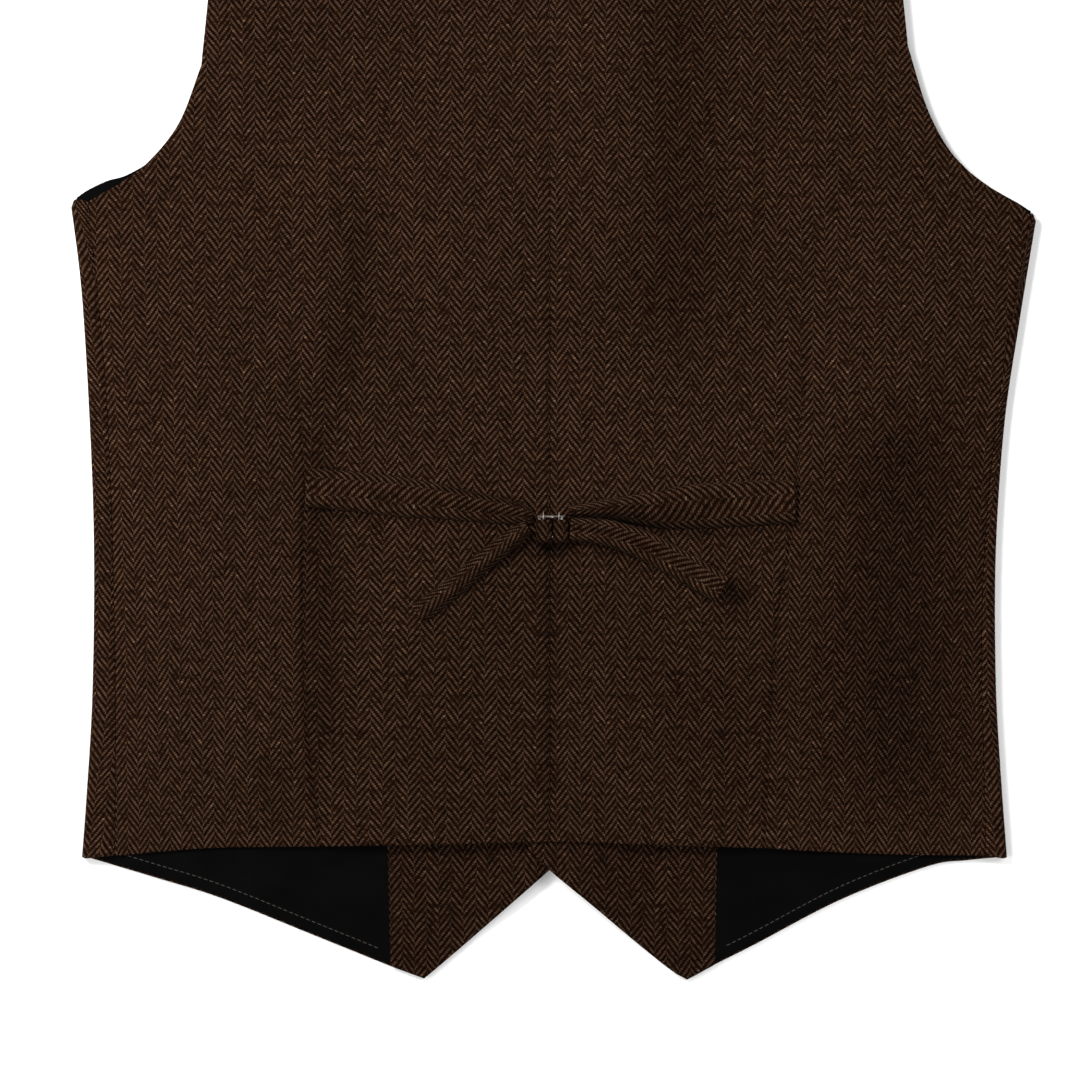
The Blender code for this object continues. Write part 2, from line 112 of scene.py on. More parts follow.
DART = {
    "left": [(123, 5), (132, 84), (133, 171), (132, 209), (137.5, 280), (142, 352)],
    "right": [(116, 4), (122, 116), (131.5, 180), (135.5, 230), (141, 280), (147, 350)],
}
DART_SHOULDER_OUT = 132.0
FRONT_EDGE = {"left": -13.5, "right": -11.5}
FRONT_CORNER_Y = 4.0
NECKLINE_Y = 315.0
NECKLINE = [(0, 350), (31, 440), (62, 540)]
FRONT_HEM = {
    "left": [(0, -7.5), (31, -34.8), (50, -51.3), (68, -66.6)],
    "right": [(0, -7.8), (21.6, -25.7), (45, -45.7), (66, -62.5), (74, -67.2)],
}
FACING_HEM = {"left": (86, -60), "right": (89, -59)}
FRONT_HEM_OUTER = {
    "left": [(128, -43), (178, -23), (215, -11.5)],
    "right": [(111, -48), (157, -24), (204, -6), (225, -2.8)],
}
POINT_CHEST_Y = 326.0
POINT_SHOULDER_OUT = 118.0
FACING_CHEST = (97, 330)
FACING_SHOULDER_OUT = 132.0
FACING_TOP_Y = 595.0

# Cells of the panels, and how much they crowd towards a seam or an edge.
ROWS_SIDE = 116
ROWS_UNDERARM = 34
ROWS_ARMHOLE = 46
BACK_INNER = 48
BACK_NECK = 30
BACK_OUTER = 46
FRONT_POINT = 32
FRONT_STRIP = 10
FRONT_OUTER = 50
FOLD_CELLS = 8
WRAP_CELLS = 9
SHOULDER_CELLS = 5
LOOP_CELLS = 12
CROWD = 0.8

# Seams, darts and edges: depth and half width of their valleys.
SEAM_DIP = (0.55, 1.4)
SIDE_SEAM_DIP = (0.25, 1.2)
UNDERARM_ROUND = 5.0
UNDERARM_CORNER = {"left": (258.6, 354.2), "right": (262.4, 346.6)}
DART_DIP = (0.8, 1.5)
EDGE_DROP = 0.42
EDGE_ROUND = 0.9
BILLOW = 1.1
BILLOW_FULL_Y = 40.0
CREASE_FROM_SEAM = 14.0
DART_FADE = 18.0
WRAP_SWELL = 0.5
SHOULDER_DIP = 0.3
FREE_REACH = 30.0
FACING_TURN = 0.6
# Lining along its hem: height, waves and reach of the pucker, depth and reach of the sewn line.
PUCKER = (0.12, 0.9, 3.0)
SEWN_DIP = (0.25, 0.8)

# Soft troughs (depth above 0) and ridges of the back: points x and y, half width, depth.
BACK_CREASES = [
    ([(-104, 392), (-101, 340), (-105, 300), (-113, 262), (-121, 236)], 9.0, 1.1),
    ([(-78, 360), (-82, 300), (-92, 255)], 9.0, -0.5),
    ([(72, 480), (67, 400), (70, 330), (66, 290), (60, 250)], 12.0, 1.2),
    ([(104, 420), (102, 330), (96, 270)], 12.0, -0.5),
    ([(-122, 236), (-124, 190), (-125, 150), (-124, 110)], 6.0, 1.0),
    ([(-136, 120), (-136, 70), (-130, 20)], 7.0, 0.6),
    ([(-147, 52), (-141, 6)], 7.0, 0.8),
    ([(151, 120), (151, 60), (153, 6)], 5.0, 0.7),
    ([(236, 296), (206, 262), (176, 226), (160, 196)], 14.0, -0.9),
    ([(222, 240), (192, 190), (186, 120)], 18.0, 0.8),
    ([(-120, 241), (-104, 226), (-88, 214)], 4.5, 0.8),
    ([(-48, 238), (-30, 220), (-14, 204)], 5.0, 0.8),
    ([(18, 206), (34, 222), (50, 240)], 5.0, 0.6),
    ([(-38, 122), (-60, 104), (-84, 96)], 7.0, 0.4),
    ([(70, 120), (98, 98), (112, 60)], 8.0, 0.5),
    ([(-196, 330), (-204, 250), (-198, 170)], 15.0, 0.5),
    ([(-176, 150), (-182, 80), (-178, 20)], 12.0, 0.4),
    ([(-160, 560), (-130, 520), (-96, 500)], 14.0, 0.7),
    ([(166, 556), (130, 512), (100, 496)], 14.0, 0.7),
]
# Painted shade (share above 0) and painted light (share below 0) in the back's colour: darker troughs and
# lower right side, cast shadows under the straps, tails and buckle, dark lines along the centre seam and
# darts, and a lighter left side where the light falls: points, half width, share.
DARKEST_PAINTED_SHADE = 0.85
PAINTED_SHADE_AND_LIGHT = [
    ([(70, 520), (68, 420), (72, 340), (66, 280), (62, 250)], 24.0, 0.27),
    ([(-104, 375), (-102, 330), (-108, 285), (-120, 235)], 14.0, 0.3),
    ([(-124, 250), (-124, 180), (-122, 110), (-124, 20)], 12.0, 0.36),
    ([(-150, 60), (-142, 5)], 14.0, 0.2),
    ([(200, 262), (190, 210), (186, 120), (188, 0)], 42.0, 0.42),
    ([(0, 176), (0, 90), (0, -10)], 95.0, 0.13),
    ([(100, 110), (100, 0)], 30.0, 0.12),
    ([(0, 172), (0, 160)], 22.0, 0.2),
    ([(0, 330), (0, 190)], 2.2, 0.2),
    ([(0, 186), (0, 90), (0, 4)], 3.0, 0.35),
    ([(-133, 186), (-132, 100), (-124, 5)], 2.2, 0.4),
    ([(131, 178), (122, 116), (116, 4)], 2.2, 0.3),
    ([(-133, 187), (-81, 181.5), (-40, 178), (-12, 177)], 2.6, 0.6),
    ([(134, 178.5), (78, 175), (45, 178), (12, 180)], 2.8, 0.6),
    ([(-14, 167), (-38, 149.5), (-73, 123)], 3.0, 0.45),
    ([(14, 168), (50, 158), (84, 139)], 3.0, 0.4),
    ([(96, 142), (104, 137), (106, 135)], 6.5, 0.6),
    ([(-10, 166), (0, 165.5), (12, 166)], 4.0, 0.55),
    ([(-256, 360), (-251, 250), (-249, 120), (-252, -10)], 16.0, -0.3),
    ([(-200, 330), (-206, 200), (-200, 60)], 26.0, -0.06),
    ([(0, 560), (0, 420)], 60.0, -0.05),
]
FRONT_CREASES = [
    ([(-150, 330), (-120, 250), (-112, 160)], 12.0, -0.35),
    ([(140, 330), (122, 240), (118, 150)], 12.0, -0.35),
    ([(-200, 200), (-170, 120), (-150, 20)], 14.0, -0.3),
    ([(200, 180), (176, 100), (150, 20)], 14.0, -0.3),
    ([(-60, 150), (-70, 60), (-72, -20)], 12.0, -0.3),
    ([(60, 160), (72, 60), (74, -20)], 12.0, -0.3),
    ([(-206, -4), (-168, -2), (-128, -14)], 5.0, -0.4),
    ([(196, 4), (150, -4), (118, -20)], 5.0, -0.4),
    ([(-150, -24), (-120, -26), (-100, -40)], 4.0, -0.3),
]

# Herringbone, and how it is drawn over the halves.
WALE = 6.6
WEAVE_DEPTH = 0.00022
SLUB_CHANCE = 0.008
FLOAT_FALL = 0.75
PICK_FALL = 0.42
ENDS_PER_WALE = 8
PICK = 1.04
WEAVE_START = {"left": 6.1, "right": 9.6}
FRONT_WALES = 4
WEAVE_DRAW_Y = (120.0, 330.0)
INNER_DRAW = {"left": 0.045, "right": -0.02}
OUTER_DRAW = {"left": 0.09, "right": 0.11}
WEAVE_SETTLE = 60.0
WEAVE_CLOSE = 90.0
WEAVE_SAG = (3.0, 240.0)

# Straps of the back belt: x, y of the middle, width, height of the underside above the cloth, thickness.
STRAPS = {
    "strap_left": [
        (-131, 198.5, 21, 0.0, 1.6),
        (-106, 196.2, 21.3, 0.0, 1.6),
        (-81, 193.3, 21.5, 0.1, 1.6),
        (-54, 189.9, 17.7, 0.1, 1.7),
        (-27, 185.8, 14, 0.0, 1.8),
        (-12, 183.4, 9.5, 0.0, 1.8),
        (-9.3, 183.2, 8, 0.0, 1.8),
    ],
    "strap_right": [
        (132, 190.9, 23.2, 0.0, 1.6),
        (108, 190, 24, 0.0, 1.6),
        (78, 188, 24, 0.1, 1.6),
        (57, 186.3, 20, 0.1, 1.7),
        (36, 186.5, 13, 0.0, 1.8),
        (16, 185, 8.5, 0.0, 1.8),
        (10.1, 184.6, 7, 0.0, 1.8),
    ],
    "tail_left": [
        (-11.9, 177.2, 8, 2.2, 1.6),
        (-22, 169.6, 10.5, 2.2, 1.8),
        (-38, 156.8, 11, 0.6, 1.8),
        (-54, 143, 11, 0.0, 1.8),
        (-71.2, 130.3, 12, 0.4, 1.6),
    ],
    "tail_right": [
        (10.8, 176.2, 12, 2.2, 1.6),
        (31, 174, 14, 2.2, 1.6),
        (51, 167, 15.5, 1.0, 1.6),
        (67, 158.5, 16, 0.1, 1.6),
        (82, 149.8, 16, 1.0, 1.6),
        (92.8, 143.6, 16, 3.2, 1.6),
    ],
}
STRAP_GAP = 0.4
STRAP_CUT = 22.0
# Lengthwise folds of each strap: place across (-1 to 1), half width, height at the start and at the end.
STRAP_FOLDS = {
    "strap_left": [
        (0.45, 0.3, 0.0, 1.3),
        (-0.35, 0.28, 0.0, 1.0),
        (0.05, 0.2, 0.0, -0.8),
        (-0.8, 0.2, 0.0, -0.7),
    ],
    "strap_right": [
        (0.4, 0.3, 0.0, -0.8),
        (-0.45, 0.25, 0.1, 1.3),
        (0.1, 0.28, 0.2, 1.1),
        (0.85, 0.2, 0.0, -0.6),
    ],
    "tail_left": [(0.35, 0.35, 0.9, 0.5), (-0.5, 0.3, -0.5, -0.3)],
    "tail_right": [(0.25, 0.3, 0.9, 0.2), (-0.5, 0.3, 0.5, -0.1), (-0.1, 0.2, -0.6, 0.0)],
}
# Lengthwise bands of each strap that lie in its own shade, in the same terms.
STRAP_SHADE = {
    "strap_left": [(-1.0, 0.25, 0.5, 0.6), (-0.15, 0.22, 0.0, 0.45), (0.8, 0.2, 0.1, 0.45)],
    "strap_right": [(1.0, 0.25, 0.5, 0.8), (0.5, 0.4, 0.0, 0.7), (-0.2, 0.16, 0.0, 0.5)],
    "tail_left": [(0.75, 0.5, 0.6, 0.55), (-1.0, 0.15, 0.3, 0.3)],
    "tail_right": [(-0.95, 0.25, 0.5, 0.5), (0.05, 0.2, 0.4, 0.1), (1.0, 0.15, 0.2, 0.1)],
}
STRAP_ROLL = 0.55
FOLD_SHOWN = 0.7
FOLD_BELOW = 0.35
END_FLATTEN = 0.45
RIBBON_CELLS = 90
RIBBON_ACROSS = 26

# Buckle and the loops round its lower bar.
BUCKLE_X = (-8.0, 8.8)
BUCKLE_Y = (172.2, 182.6)
BUCKLE_BAR = 0.8
BUCKLE_CORNER = 1.2
LOOP_CUT_WIDTH = 0.0102
LOOP_SPAN_X = {"loop_left": (-7.1, 1.0), "loop_right": (1.6, 9.7)}
LOOP_SHADE = 0.2
LOOP_EDGE_SHADE = 0.4
LOOP_PINCH = 0.03
LOOP_OPEN_Y = 181.0
LOOP_BEND_Y = 171.0
LOOP_INNER = 1.1
LOOP_LEVEL = CENTRE_TOP + GAP + CLOTH + LOOP_INNER
PRONG_X = (-3.5, 4.9)
PRONG_PATH = [(172.2, 0.0, 0.5), (180.6, 0.1, 0.5), (182.8, 1.15, 0.45), (185.2, 1.35, 0.12)]

# Buttons.
BUTTON_COUNT = 5
BUTTON_FIRST_Y = 24.0
BUTTON_PITCH = 70.0
BUTTON_RADIUS = 7.5
BUTTON_HOLE_RADIUS = 0.9
BUTTON_HOLE_OFFSET = 1.6
BUTTON_RIM = 2.0
BUTTON_SLOPE = 0.6
BUTTON_DISH = 0.7
BUTTON_EDGE = 0.55

# Sewing that shows.
STITCH_LENGTH = 2.3
STITCH_RADIUS = 0.2
STITCH_PITCH = 3.3
STITCH_TO_EDGE = 6.0
BUTTONHOLE_LENGTH = 19.0
BUTTONHOLE_WIDTH = 2.6
BUTTONHOLE_SHIFT = 3.0
BUTTONHOLE_STITCHES = 46

# Stage, in metres and watts: each lamp's place, size and power.
CAMERA_PLACE = (-0.0074, -0.1143, 2.5)
FIELD = 0.5832
SENSOR = 36
FLOOR_SIZE = 30
FLOOR_LEVEL = -0.0002
LAMP_TARGET = (0, -0.1, 0)
LAMPS = {
    "key": ((-1.3, 1.15, 1.3), 0.7, 66),
    "left fill": ((-1.9, -0.7, 1.2), 1.2, 36),
    "right fill": ((1.9, 0.9, 1.4), 1.4, 42),
    "low fill": ((0.4, -2.1, 1.4), 1.4, 32),
}
ROOM_LIGHT = 0.08

# Colours of the yarns, dark and light.
CLOTH_YARNS = ((0.0115, 0.0028, 0.0004, 1), (0.0535, 0.03, 0.0182, 1))
# The facing is the same cloth as the back; its yarns are made darker as painted shade over the whole facing.
SHADED_FACING_YARNS = ((0.0085, 0.0022, 0.0003, 1), (0.0405, 0.0228, 0.0138, 1))
HEM_THREAD = ((0.006, 0.0045, 0.003, 1), (0.05, 0.036, 0.022, 1))
BUTTON_THREAD = ((0.006, 0.003, 0.002, 1), (0.03, 0.016, 0.01, 1))


def ease(value, start, stop):
    """0 at start and 1 at stop, with level ends."""
    share = np.clip((value - start) / (stop - start), 0, 1)
    return share * share * (3 - 2 * share)


def deselect():
    for obj in bpy.context.selected_objects:
        obj.select_set(False)
    bpy.context.view_layer.objects.active = None


# ---- finishes ----


class Signal:
    """A shader socket that takes part in Python sums."""

    def __init__(self, finish, socket):
        self.finish = finish
        self.socket = socket

    def __add__(self, other):
        return self.finish.maths("ADD", self, other)

    def __radd__(self, other):
        return self.finish.maths("ADD", other, self)

    def __sub__(self, other):
        return self.finish.maths("SUBTRACT", self, other)

    def __rsub__(self, other):
        return self.finish.maths("SUBTRACT", other, self)

    def __mul__(self, other):
        return self.finish.maths("MULTIPLY", self, other)

    def __rmul__(self, other):
        return self.finish.maths("MULTIPLY", other, self)

    def __truediv__(self, other):
        return self.finish.maths("DIVIDE", self, other)


class Finish:
    """The nodes of one material."""

    def __init__(self, name, **uniform):
        self.material = bpy.data.materials.new(name)
        self.material.use_nodes = True
        self.tree = self.material.node_tree
        self.surface = self.tree.nodes["Principled BSDF"]
        for socket, value in uniform.items():
            self.surface.inputs[socket.replace("_", " ")].default_value = value

    def node(self, kind, settings=None, inputs=None):
        """Any node: its type, its settings, then the values or links of its sockets."""
        made = self.tree.nodes.new(kind)
        for name, value in (settings or {}).items():
            if name == "stops":
                self.set_stops(made.color_ramp, value)
            else:
                setattr(made, name, value)
        for name, value in (inputs or {}).items():
            self.feed(made.inputs[name], value)
        return made

    def set_stops(self, ramp, stops):
        while len(ramp.elements) < len(stops):
            ramp.elements.new(1.0)
        for element, (place, colour) in zip(ramp.elements, stops):
            element.position = place
            element.color = colour

    def feed(self, socket, value):
        if isinstance(value, Signal):
            self.tree.links.new(value.socket, socket)
        else:
            socket.default_value = value

    def signal(self, kind, output=0, settings=None, inputs=None):
        return Signal(self, self.node(kind, settings, inputs).outputs[output])

    def maths(self, operation, *values):
        return self.signal("ShaderNodeMath", 0, {"operation": operation}, dict(enumerate(values)))

    def smooth(self, value, start, stop):
        """0 to 1 between two values, with level ends."""
        settings = {"interpolation_type": "SMOOTHSTEP"}
        inputs = {"Value": value, "From Min": start, "From Max": stop}
        return self.signal("ShaderNodeMapRange", "Result", settings, inputs)

    def blend(self, factor, first, second):
        """A colour between two."""
        return self.signal("ShaderNodeMix", 2, {"data_type": "RGBA"}, {0: factor, 6: first, 7: second})

    def shade(self, colour, factor):
        """A colour made darker or lighter by a factor."""
        grey = self.combined(factor, factor, factor)
        colour = colour if isinstance(colour, Signal) else colour[:3]
        return self.signal("ShaderNodeVectorMath", 0, {"operation": "MULTIPLY"}, {0: colour, 1: grey})

    def place(self):
        return self.signal("ShaderNodeTexCoord", "Object")

    def stretched(self, vector, scale):
        return self.signal("ShaderNodeMapping", 0, None, {"Vector": vector, "Scale": scale})

    def noise(self, vector, scale, detail=2.0, roughness=0.5):
        inputs = {"Vector": vector, "Scale": scale, "Detail": detail, "Roughness": roughness}
        return self.signal("ShaderNodeTexNoise", 0, None, inputs)

    def chance(self, vector):
        """A different number from 0 to 1 for each whole vector."""
        return self.signal("ShaderNodeTexWhiteNoise", 0, {"noise_dimensions": "3D"}, {"Vector": vector})

    def combined(self, x, y, z=0.0):
        return self.signal("ShaderNodeCombineXYZ", 0, None, {"X": x, "Y": y, "Z": z})

    def colour(self, value):
        self.feed(self.surface.inputs["Base Color"], value)

    def roughness(self, value):
        self.feed(self.surface.inputs["Roughness"], value)

    def relief(self, height, distance, strength):
        inputs = {"Height": height, "Distance": distance, "Strength": strength}
        self.feed(self.surface.inputs["Normal"], self.signal("ShaderNodeBump", 0, None, inputs))


def herringbone(name, dark, light):
    """Broken herringbone of two yarns: dark ends, and light picks that float over two ends each."""
    cloth = Finish(name, Sheen_Weight=0.006, Sheen_Roughness=0.5, Specular_IOR_Level=0.012)
    uv = cloth.signal("ShaderNodeUVMap", 0, {"uv_map": "weave"})
    axes = cloth.node("ShaderNodeSeparateXYZ", None, {0: uv})
    across = Signal(cloth, axes.outputs[0]) / METRE
    along = Signal(cloth, axes.outputs[1]) / METRE
    wander = cloth.noise(uv, 22.0, 1.0)
    across = across + (wander - 0.5) * 2.6 + (cloth.noise(uv, 120.0, 1.0) - 0.5) * 0.7
    sway = (cloth.noise(uv, 14.0, 1.0) - 0.5) * 5.0
    along = along + sway + (cloth.noise(uv, 160.0, 1.0) - 0.5) * 0.6

    end = WALE / ENDS_PER_WALE
    odd = cloth.maths("GREATER_THAN", cloth.maths("FRACT", across / (2 * WALE)), 0.5)
    ends = cloth.maths("PINGPONG", across, WALE) / end
    rows = along / PICK
    row = cloth.maths("FLOOR", rows)
    floats = (ends - row + 2 * odd + 1) / 4
    step = cloth.maths("FRACT", floats) * 4 - 2
    from_float = cloth.maths("ABSOLUTE", step)
    from_pick = cloth.maths("ABSOLUTE", rows - row - 0.5) * 2
    oval = 1 - from_float * from_float * FLOAT_FALL - from_pick * from_pick * PICK_FALL
    pick = cloth.smooth(oval, 0.0, 0.6)
    end_place = cloth.maths("FRACT", ends) * 2 - 1
    warp = (1 - end_place * end_place) * (1 - pick)

    along_pick = cloth.noise(cloth.combined(across * 0.12, row * 0.37), 1.0, 3.0)
    own_end = cloth.maths("FLOOR", across / end)
    along_end = cloth.noise(cloth.combined(own_end * 0.37, along * 0.1), 1.0, 3.0)
    fibre = cloth.noise(uv, 2600.0, 2.0, 0.7)
    mottle = cloth.noise(uv, 700.0, 2.0, 0.6)
    wale = cloth.maths("FLOOR", across / WALE)
    bead = cloth.maths("FLOOR", floats)
    own = cloth.chance(cloth.combined(bead, row, wale))
    slub = cloth.maths("GREATER_THAN", cloth.chance(cloth.combined(row, bead, wale)), 1 - SLUB_CHANCE)
    wide = cloth.noise(cloth.place(), 9.0, 3.0)

    painted_crest_light = cloth.smooth(oval, 0.0, 1.0)
    streaks = (along_pick - 0.5) * 1.5
    specks = (mottle - 0.5) * 1.6
    hairs = (fibre - 0.5) * 1.2
    yarn = 0.38 + own * 0.34 + streaks + specks + hairs + slub * 0.7
    # Painted light and shade on each yarn: picks lighter on their crests, ends lighter along their middles,
    # both darker towards their edges.
    light_level = cloth.maths("MAXIMUM", yarn, 0.12) * (0.5 + painted_crest_light * 0.9)
    hair = 0.55 + (along_end - 0.5) * 1.6 + (fibre - 0.5) * 1.6 + (mottle - 0.5) * 1.0
    dark_level = cloth.maths("MAXIMUM", hair, 0.1) * (0.6 + warp * 0.6)
    picks = cloth.shade(light, light_level)
    ends_colour = cloth.shade(dark, dark_level)
    mixed = cloth.blend(pick, ends_colour, picks)
    # Painted light and shade: the vertex attribute darkens the cloth's colour, or lightens it where it is
    # below 0.
    pressed = cloth.signal("ShaderNodeAttribute", "Fac", {"attribute_name": "pressed"})
    cloth.colour(cloth.shade(mixed, (0.75 + wide * 0.5) * (1 - pressed)))
    cloth.roughness(0.8 + fibre * 0.18)
    cloth.relief(pick * 0.8 + warp * 0.5 + fibre * 0.35, WEAVE_DEPTH, 0.75)
    return cloth.material


def satin(name):
    """Black lining with a low gloss, faint cross ribs and fine wrinkles."""
    lining = Finish(name, Specular_IOR_Level=0.03)
    place = lining.place()
    ribs = lining.noise(lining.stretched(place, (60, 2400, 1)), 1.0, 1.0)
    rumple = lining.noise(lining.stretched(place, (1.0, 1.6, 1.0)), 34.0, 3.0, 0.45)
    # Painted light and shade: the colour follows the wrinkle bumps, lighter on raised wrinkles and darker in
    # their hollows.
    lining.colour(lining.blend(rumple, (0.0005, 0.0005, 0.0005, 1), (0.0014, 0.0014, 0.0015, 1)))
    lining.roughness(0.4 + rumple * 0.12 + ribs * 0.06)
    lining.relief(rumple * 6 + ribs * 0.1, 0.0004, 0.5)
    return lining.material


def bright_wire(name):
    """Plated wire, rubbed in places."""
    steel = Finish(name, Metallic=1.0)
    place = steel.place()
    rubbed = steel.smooth(steel.noise(place, 420.0, 4.0), 0.35, 0.7)
    scratches = steel.noise(steel.stretched(place, (300, 3000, 300)), 1.0, 2.0)
    steel.colour(steel.blend(rubbed, (0.12, 0.1, 0.085, 1), (0.5, 0.46, 0.41, 1)))
    steel.roughness(0.24 + scratches * 0.2 + (1 - rubbed) * 0.15)
    steel.relief(scratches, 0.00003, 0.4)
    return steel.material


def horn(name):
    """Dark brown button with a streaked grain, polished."""
    button = Finish(name, Coat_Roughness=0.12)
    place = button.place()
    bent = button.noise(place, 90.0, 3.0)
    streaks = button.noise(button.stretched(place, (1.0, 4.2, 1.0)), 160.0, 4.0, 0.6)
    grain = button.smooth(streaks * 0.7 + bent * 0.4, 0.4, 0.72)
    button.colour(button.blend(grain, (0.009, 0.0045, 0.003, 1), (0.05, 0.026, 0.014, 1)))
    button.roughness(0.22 + bent * 0.16)
    button.relief(streaks, 0.00004, 0.3)
    return button.material


def thread(name, dark, light):
    """Sewing thread of twisted strands."""
    cotton = Finish(name, Sheen_Weight=0.1)
    place = cotton.place()
    settings = {"wave_type": "BANDS", "bands_direction": "DIAGONAL"}
    inputs = {"Vector": place, "Scale": 900.0, "Distortion": 1.0}
    strand = cotton.signal("ShaderNodeTexWave", 1, settings, inputs)
    fuzz = cotton.noise(place, 4000.0, 2.0)
    # Painted light and shade on the strands: the bands that raise each strand make its ridges lighter and its
    # grooves darker; the fuzz varies the tone.
    cotton.colour(cotton.blend(strand * 0.7 + fuzz * 0.3, dark, light))
    cotton.roughness(0.6 + fuzz * 0.25)
    cotton.relief(strand, 0.00006, 0.6)
    return cotton.material


def pale_floor(name):
    """Plain matt board."""
    board = Finish(name, Specular_IOR_Level=0.1)
    speckle = board.noise(board.place(), 700.0, 2.0)
    board.colour(board.blend(speckle, (0.885, 0.885, 0.885, 1), (0.905, 0.905, 0.905, 1)))
    board.roughness(0.75 + speckle * 0.1)
    return board.material


# ---- plan of the panels ----


def steps(cells, start=0.0, stop=0.0):
    """Shares from 0 to 1, closer together near an end by the amount given for it."""
    share = np.linspace(0, 1, cells + 1)
    both = min(start, stop)
    share = share - both * np.sin(2 * math.pi * share) / (2 * math.pi)
    share = share - (start - both) * np.sin(math.pi * share) / math.pi
    return share + (stop - both) * np.sin(math.pi * share) / math.pi


def run_lengths(line):
    """Distance of each point from the first, along the line."""
    return np.concatenate([[0], np.cumsum(np.linalg.norm(np.diff(line, axis=0), axis=1))])


def spaced(points, shares):
    """Points at given shares of a smooth line through the given ones; further columns follow along."""
    knots = np.array(points, float)
    ends = np.vstack([2 * knots[0] - knots[1], knots, 2 * knots[-1] - knots[-2]])
    dense = [knots[0]]
    for before, a, b, after in zip(ends, ends[1:], ends[2:], ends[3:]):
        for t in np.linspace(0, 1, 13)[1:]:
            dense.append(
                a
                + 0.5 * t * (b - before)
                + t**2 * (before - 2.5 * a + 2 * b - 0.5 * after)
                + t**3 * (1.5 * (a - b) + 0.5 * (after - before))
            )
    dense = np.array(dense)
    lengths = run_lengths(dense[:, :2])
    places = shares * lengths[-1]
    return np.column_stack([np.interp(places, lengths, column) for column in dense.T])


def joined(*stretches):
    """One line from several that follow each other."""
    return np.vstack([stretches[0]] + [stretch[1:] for stretch in stretches[1:]])


def shares_of(line):
    lengths = run_lengths(line)
    return lengths / lengths[-1]


def patch(bottom, top, start, end):
    """Columns and rows of points that fill the space between four lines."""
    across = shares_of(bottom)[:, None, None]
    up = (0.5 * (shares_of(start) + shares_of(end)))[None, :, None]
    between_ends = (1 - up) * bottom[:, None] + up * top[:, None]
    between_sides = (1 - across) * start[None] + across * end[None]
    lower = (1 - across) * bottom[0] + across * bottom[-1]
    upper = (1 - across) * top[0] + across * top[-1]
    return between_ends + between_sides - (1 - up) * lower - up * upper


def side_steps():
    return steps(ROWS_SIDE, CROWD, 0.0)


def upright(lower, chest, upper_end):
    """A line with the rows of a panel: a curve to chest height, then straight on to the shoulder."""
    above = spaced([chest, upper_end], steps(ROWS_UNDERARM + ROWS_ARMHOLE, 0.0, CROWD))
    return joined(spaced(lower + [chest], side_steps()), above)


def shoulder(half, drop):
    """Neck end and arm end of the shoulder fold, moved down the panel by drop."""
    tip = SHOULDER_TIP[half]
    return np.array([(NECK_POINT[0], NECK_POINT[1] - drop), (tip[0], tip[1] - drop)], float)


def along(ends, out):
    """The point of a straight line at a distance out."""
    share = (out - ends[0][0]) / (ends[1][0] - ends[0][0])
    return tuple(ends[0] + share * (ends[1] - ends[0]))


def armhole(side_line, underarm, middle, top):
    return joined(
        side_line,
        spaced(underarm, steps(ROWS_UNDERARM)),
        spaced([underarm[-1], middle, top], steps(ROWS_ARMHOLE, 0.0, CROWD)),
    )


def back_plan(half):
    """Grids of a back half: centre seam to dart line, and dart line to side seam."""
    seam_out = GAP / 2
    top_edge = shoulder(half, SHOULDER_BACK + GAP / 2)
    dart = upright(DART[half][:-1], DART[half][-1], along(top_edge, DART_SHOULDER_OUT))
    centre_hem = [(seam_out, BACK_HEM[half][0][1])]
    centre = upright(centre_hem, (seam_out, CENTRE_CHEST_Y), (seam_out, NECK_BACK_Y))
    side = [(out - GAP / 2, y) for out, y in SIDE_SEAM[half]]
    underarm = [side[-1]] + BACK_UNDERARM[half]
    armhole_end = tuple(top_edge[1])
    middle = (SHOULDER_TIP[half][0] + BACK_ARMHOLE_CURVE, ARMHOLE_MIDDLE_Y)
    outer = armhole(spaced(side, side_steps()), underarm, middle, armhole_end)
    neck_end = tuple(top_edge[0])
    neck_middle = (NECK_MIDDLE_OUT, NECK_BACK_Y + NECK_RISE)
    neck = spaced([tuple(centre[-1]), neck_middle, neck_end], steps(BACK_NECK, CROWD, 0.0))
    to_dart = spaced([neck_end, tuple(dart[-1])], steps(BACK_INNER - BACK_NECK, 0.0, CROWD))
    inner_hem = [tuple(centre[0])] + BACK_HEM[half][1:-1] + [tuple(dart[0])]
    inner_hem = spaced(inner_hem, steps(BACK_INNER, CROWD, CROWD))
    outer_cells = steps(BACK_OUTER, CROWD, CROWD)
    outer_top = spaced([tuple(dart[-1]), armhole_end], outer_cells)
    outer_hem = [tuple(dart[0])] + BACK_HEM_OUTER[half][1:-1] + [tuple(outer[0])]
    outer_hem = spaced(outer_hem, outer_cells)
    inner_panel = patch(inner_hem, joined(neck, to_dart), centre, dart)
    return inner_panel, patch(outer_hem, outer_top, dart, outer)


